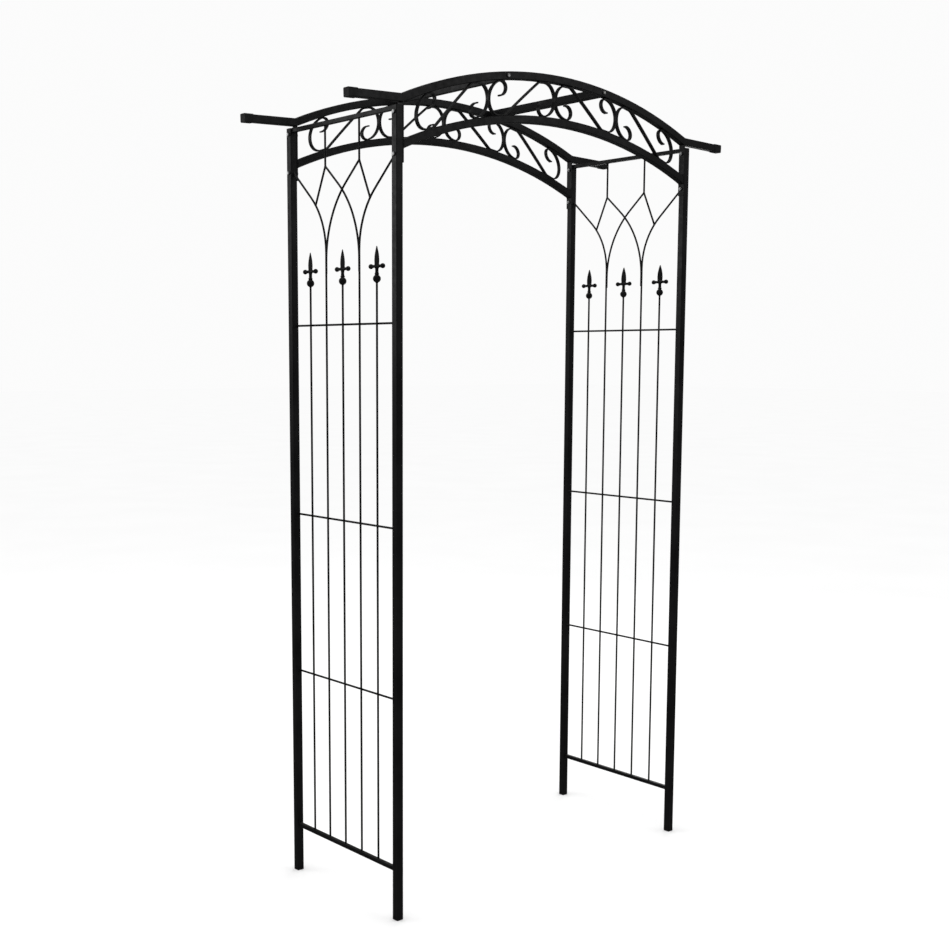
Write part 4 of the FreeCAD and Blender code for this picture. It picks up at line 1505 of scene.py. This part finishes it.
@dataclass
class Studio:
    """Pale floor, even surround and soft lights."""

    floor_half: float = 60.0
    floor_steps: int = 16
    backdrop: float = 0.97
    skylight: float = 1.08
    reflected: float = 0.07
    lights: tuple[SoftBox, ...] = (
        SoftBox("key_box", (-3.7, 3.1, 2.7), (-0.2, 0.0, 1.7), (2.2, 1.8), 17.0),
        SoftBox("front_box", (3.4, -4.8, 3.8), (0.0, 0.0, 1.2), (2.6, 1.8), 12.0),
        SoftBox("rear_box", (4.3, 2.4, 2.4), (0.2, 0.0, 1.3), (2.0, 1.8), 20.0),
        SoftBox("top_box", (-0.4, 0.2, 5.4), (0.0, 0.0, 0.0), (3.2, 3.2), 42.0),
    )

    def floor(self) -> None:
        """Lays the floor."""
        shop = MeshShop()
        half, steps = self.floor_half, self.floor_steps
        spread = [-half + 2 * half * step / steps for step in range(steps + 1)]
        grid = [[shop.form.verts.new((x, y, 0.0)) for x in spread] for y in spread]
        for lower, upper in zip(grid, grid[1:]):
            for i in range(steps):
                shop.form.faces.new((lower[i], lower[i + 1], upper[i + 1], upper[i]))
        ground = shop.object("studio_floor")
        ground.data.materials.append(PaleGround("pale_floor_paint").material())
        ground.visible_glossy = False

    def sky(self) -> None:
        """Sets an even white surround that glossy reflections see as dark, as with black flags."""
        world = bpy.data.worlds.new("white_surround")
        world.use_nodes = True
        tree = world.node_tree
        tree.nodes.clear()
        output = tree.nodes.new("ShaderNodeOutputWorld")
        rays = tree.nodes.new("ShaderNodeLightPath")
        below = None
        for strength, kind in ((self.skylight, None), (self.reflected, "Is Glossy Ray"),
                               (self.backdrop, "Is Camera Ray")):
            panel = tree.nodes.new("ShaderNodeBackground")
            panel.inputs["Color"].default_value = (1.0, 1.0, 1.0, 1.0)
            panel.inputs["Strength"].default_value = strength
            if below is None:
                below = panel.outputs[0]
                continue
            choice = tree.nodes.new("ShaderNodeMixShader")
            tree.links.new(rays.outputs[kind], choice.inputs[0])
            tree.links.new(below, choice.inputs[1])
            tree.links.new(panel.outputs[0], choice.inputs[2])
            below = choice.outputs[0]
        tree.links.new(below, output.inputs["Surface"])
        bpy.context.scene.world = world

    def build(self) -> None:
        """Builds floor, surround and lights."""
        self.floor()
        self.sky()
        for light in self.lights:
            light.hang()
        bpy.context.scene.view_settings.view_transform = "Standard"
        LOG.info("studio: floor, surround and %d lights", len(self.lights))


@dataclass(frozen=True)
class Viewpoint:
    """The camera, by its place and where it looks."""

    place: tuple[float, float, float] = (-2.878, -3.169, 1.5855)
    heading: float = 39.612
    tilt: float = -7.086
    roll: float = 0.122
    lens: float = 51.645
    sensor: float = 36.0
    shift: tuple[float, float] = (0.0455, 0.0562)

    def build(self) -> None:
        """Puts the camera in the scene and makes it the scene's own."""
        yaw, pitch, roll = (math.radians(a) for a in (self.heading, self.tilt, self.roll))
        ahead = Vector((math.sin(yaw) * math.cos(pitch), math.cos(yaw) * math.cos(pitch),
                        math.sin(pitch)))
        right = Vector((math.cos(yaw), -math.sin(yaw), 0.0))
        up = right.cross(ahead)
        level_right = right * math.cos(roll) + up * math.sin(roll)
        level_up = up * math.cos(roll) - right * math.sin(roll)
        turn = Matrix((level_right, level_up, -ahead)).transposed().to_4x4()
        lens = bpy.data.cameras.new("studio_camera")
        lens.lens = self.lens
        lens.sensor_width = self.sensor
        lens.shift_x, lens.shift_y = self.shift
        lens.dof.use_dof = False
        camera = bpy.data.objects.new("studio_camera", lens)
        camera.matrix_world = Matrix.Translation(self.place) @ turn
        bpy.context.scene.collection.objects.link(camera)
        bpy.context.scene.camera = camera
        LOG.info("camera: %.1f mm lens", self.lens)


def main() -> None:
    """Builds the looks in order: finishes, fasteners, finials, welds, studio and camera."""
    logging.basicConfig(level=logging.INFO, format="%(message)s")
    book = FinishBook()
    book.mix()
    book.dress_frame()
    Fasteners(book).build()
    pattern = SpearFinial().mesh()
    for side in Side:
        FinialRow(book, side, pattern).build()
        SidePanelWelds(book, side).build()
    for end in End:
        TrussWelds(book, end).build()
    Studio().build()
    Viewpoint().build()


if __name__ == "__main__":
    main()
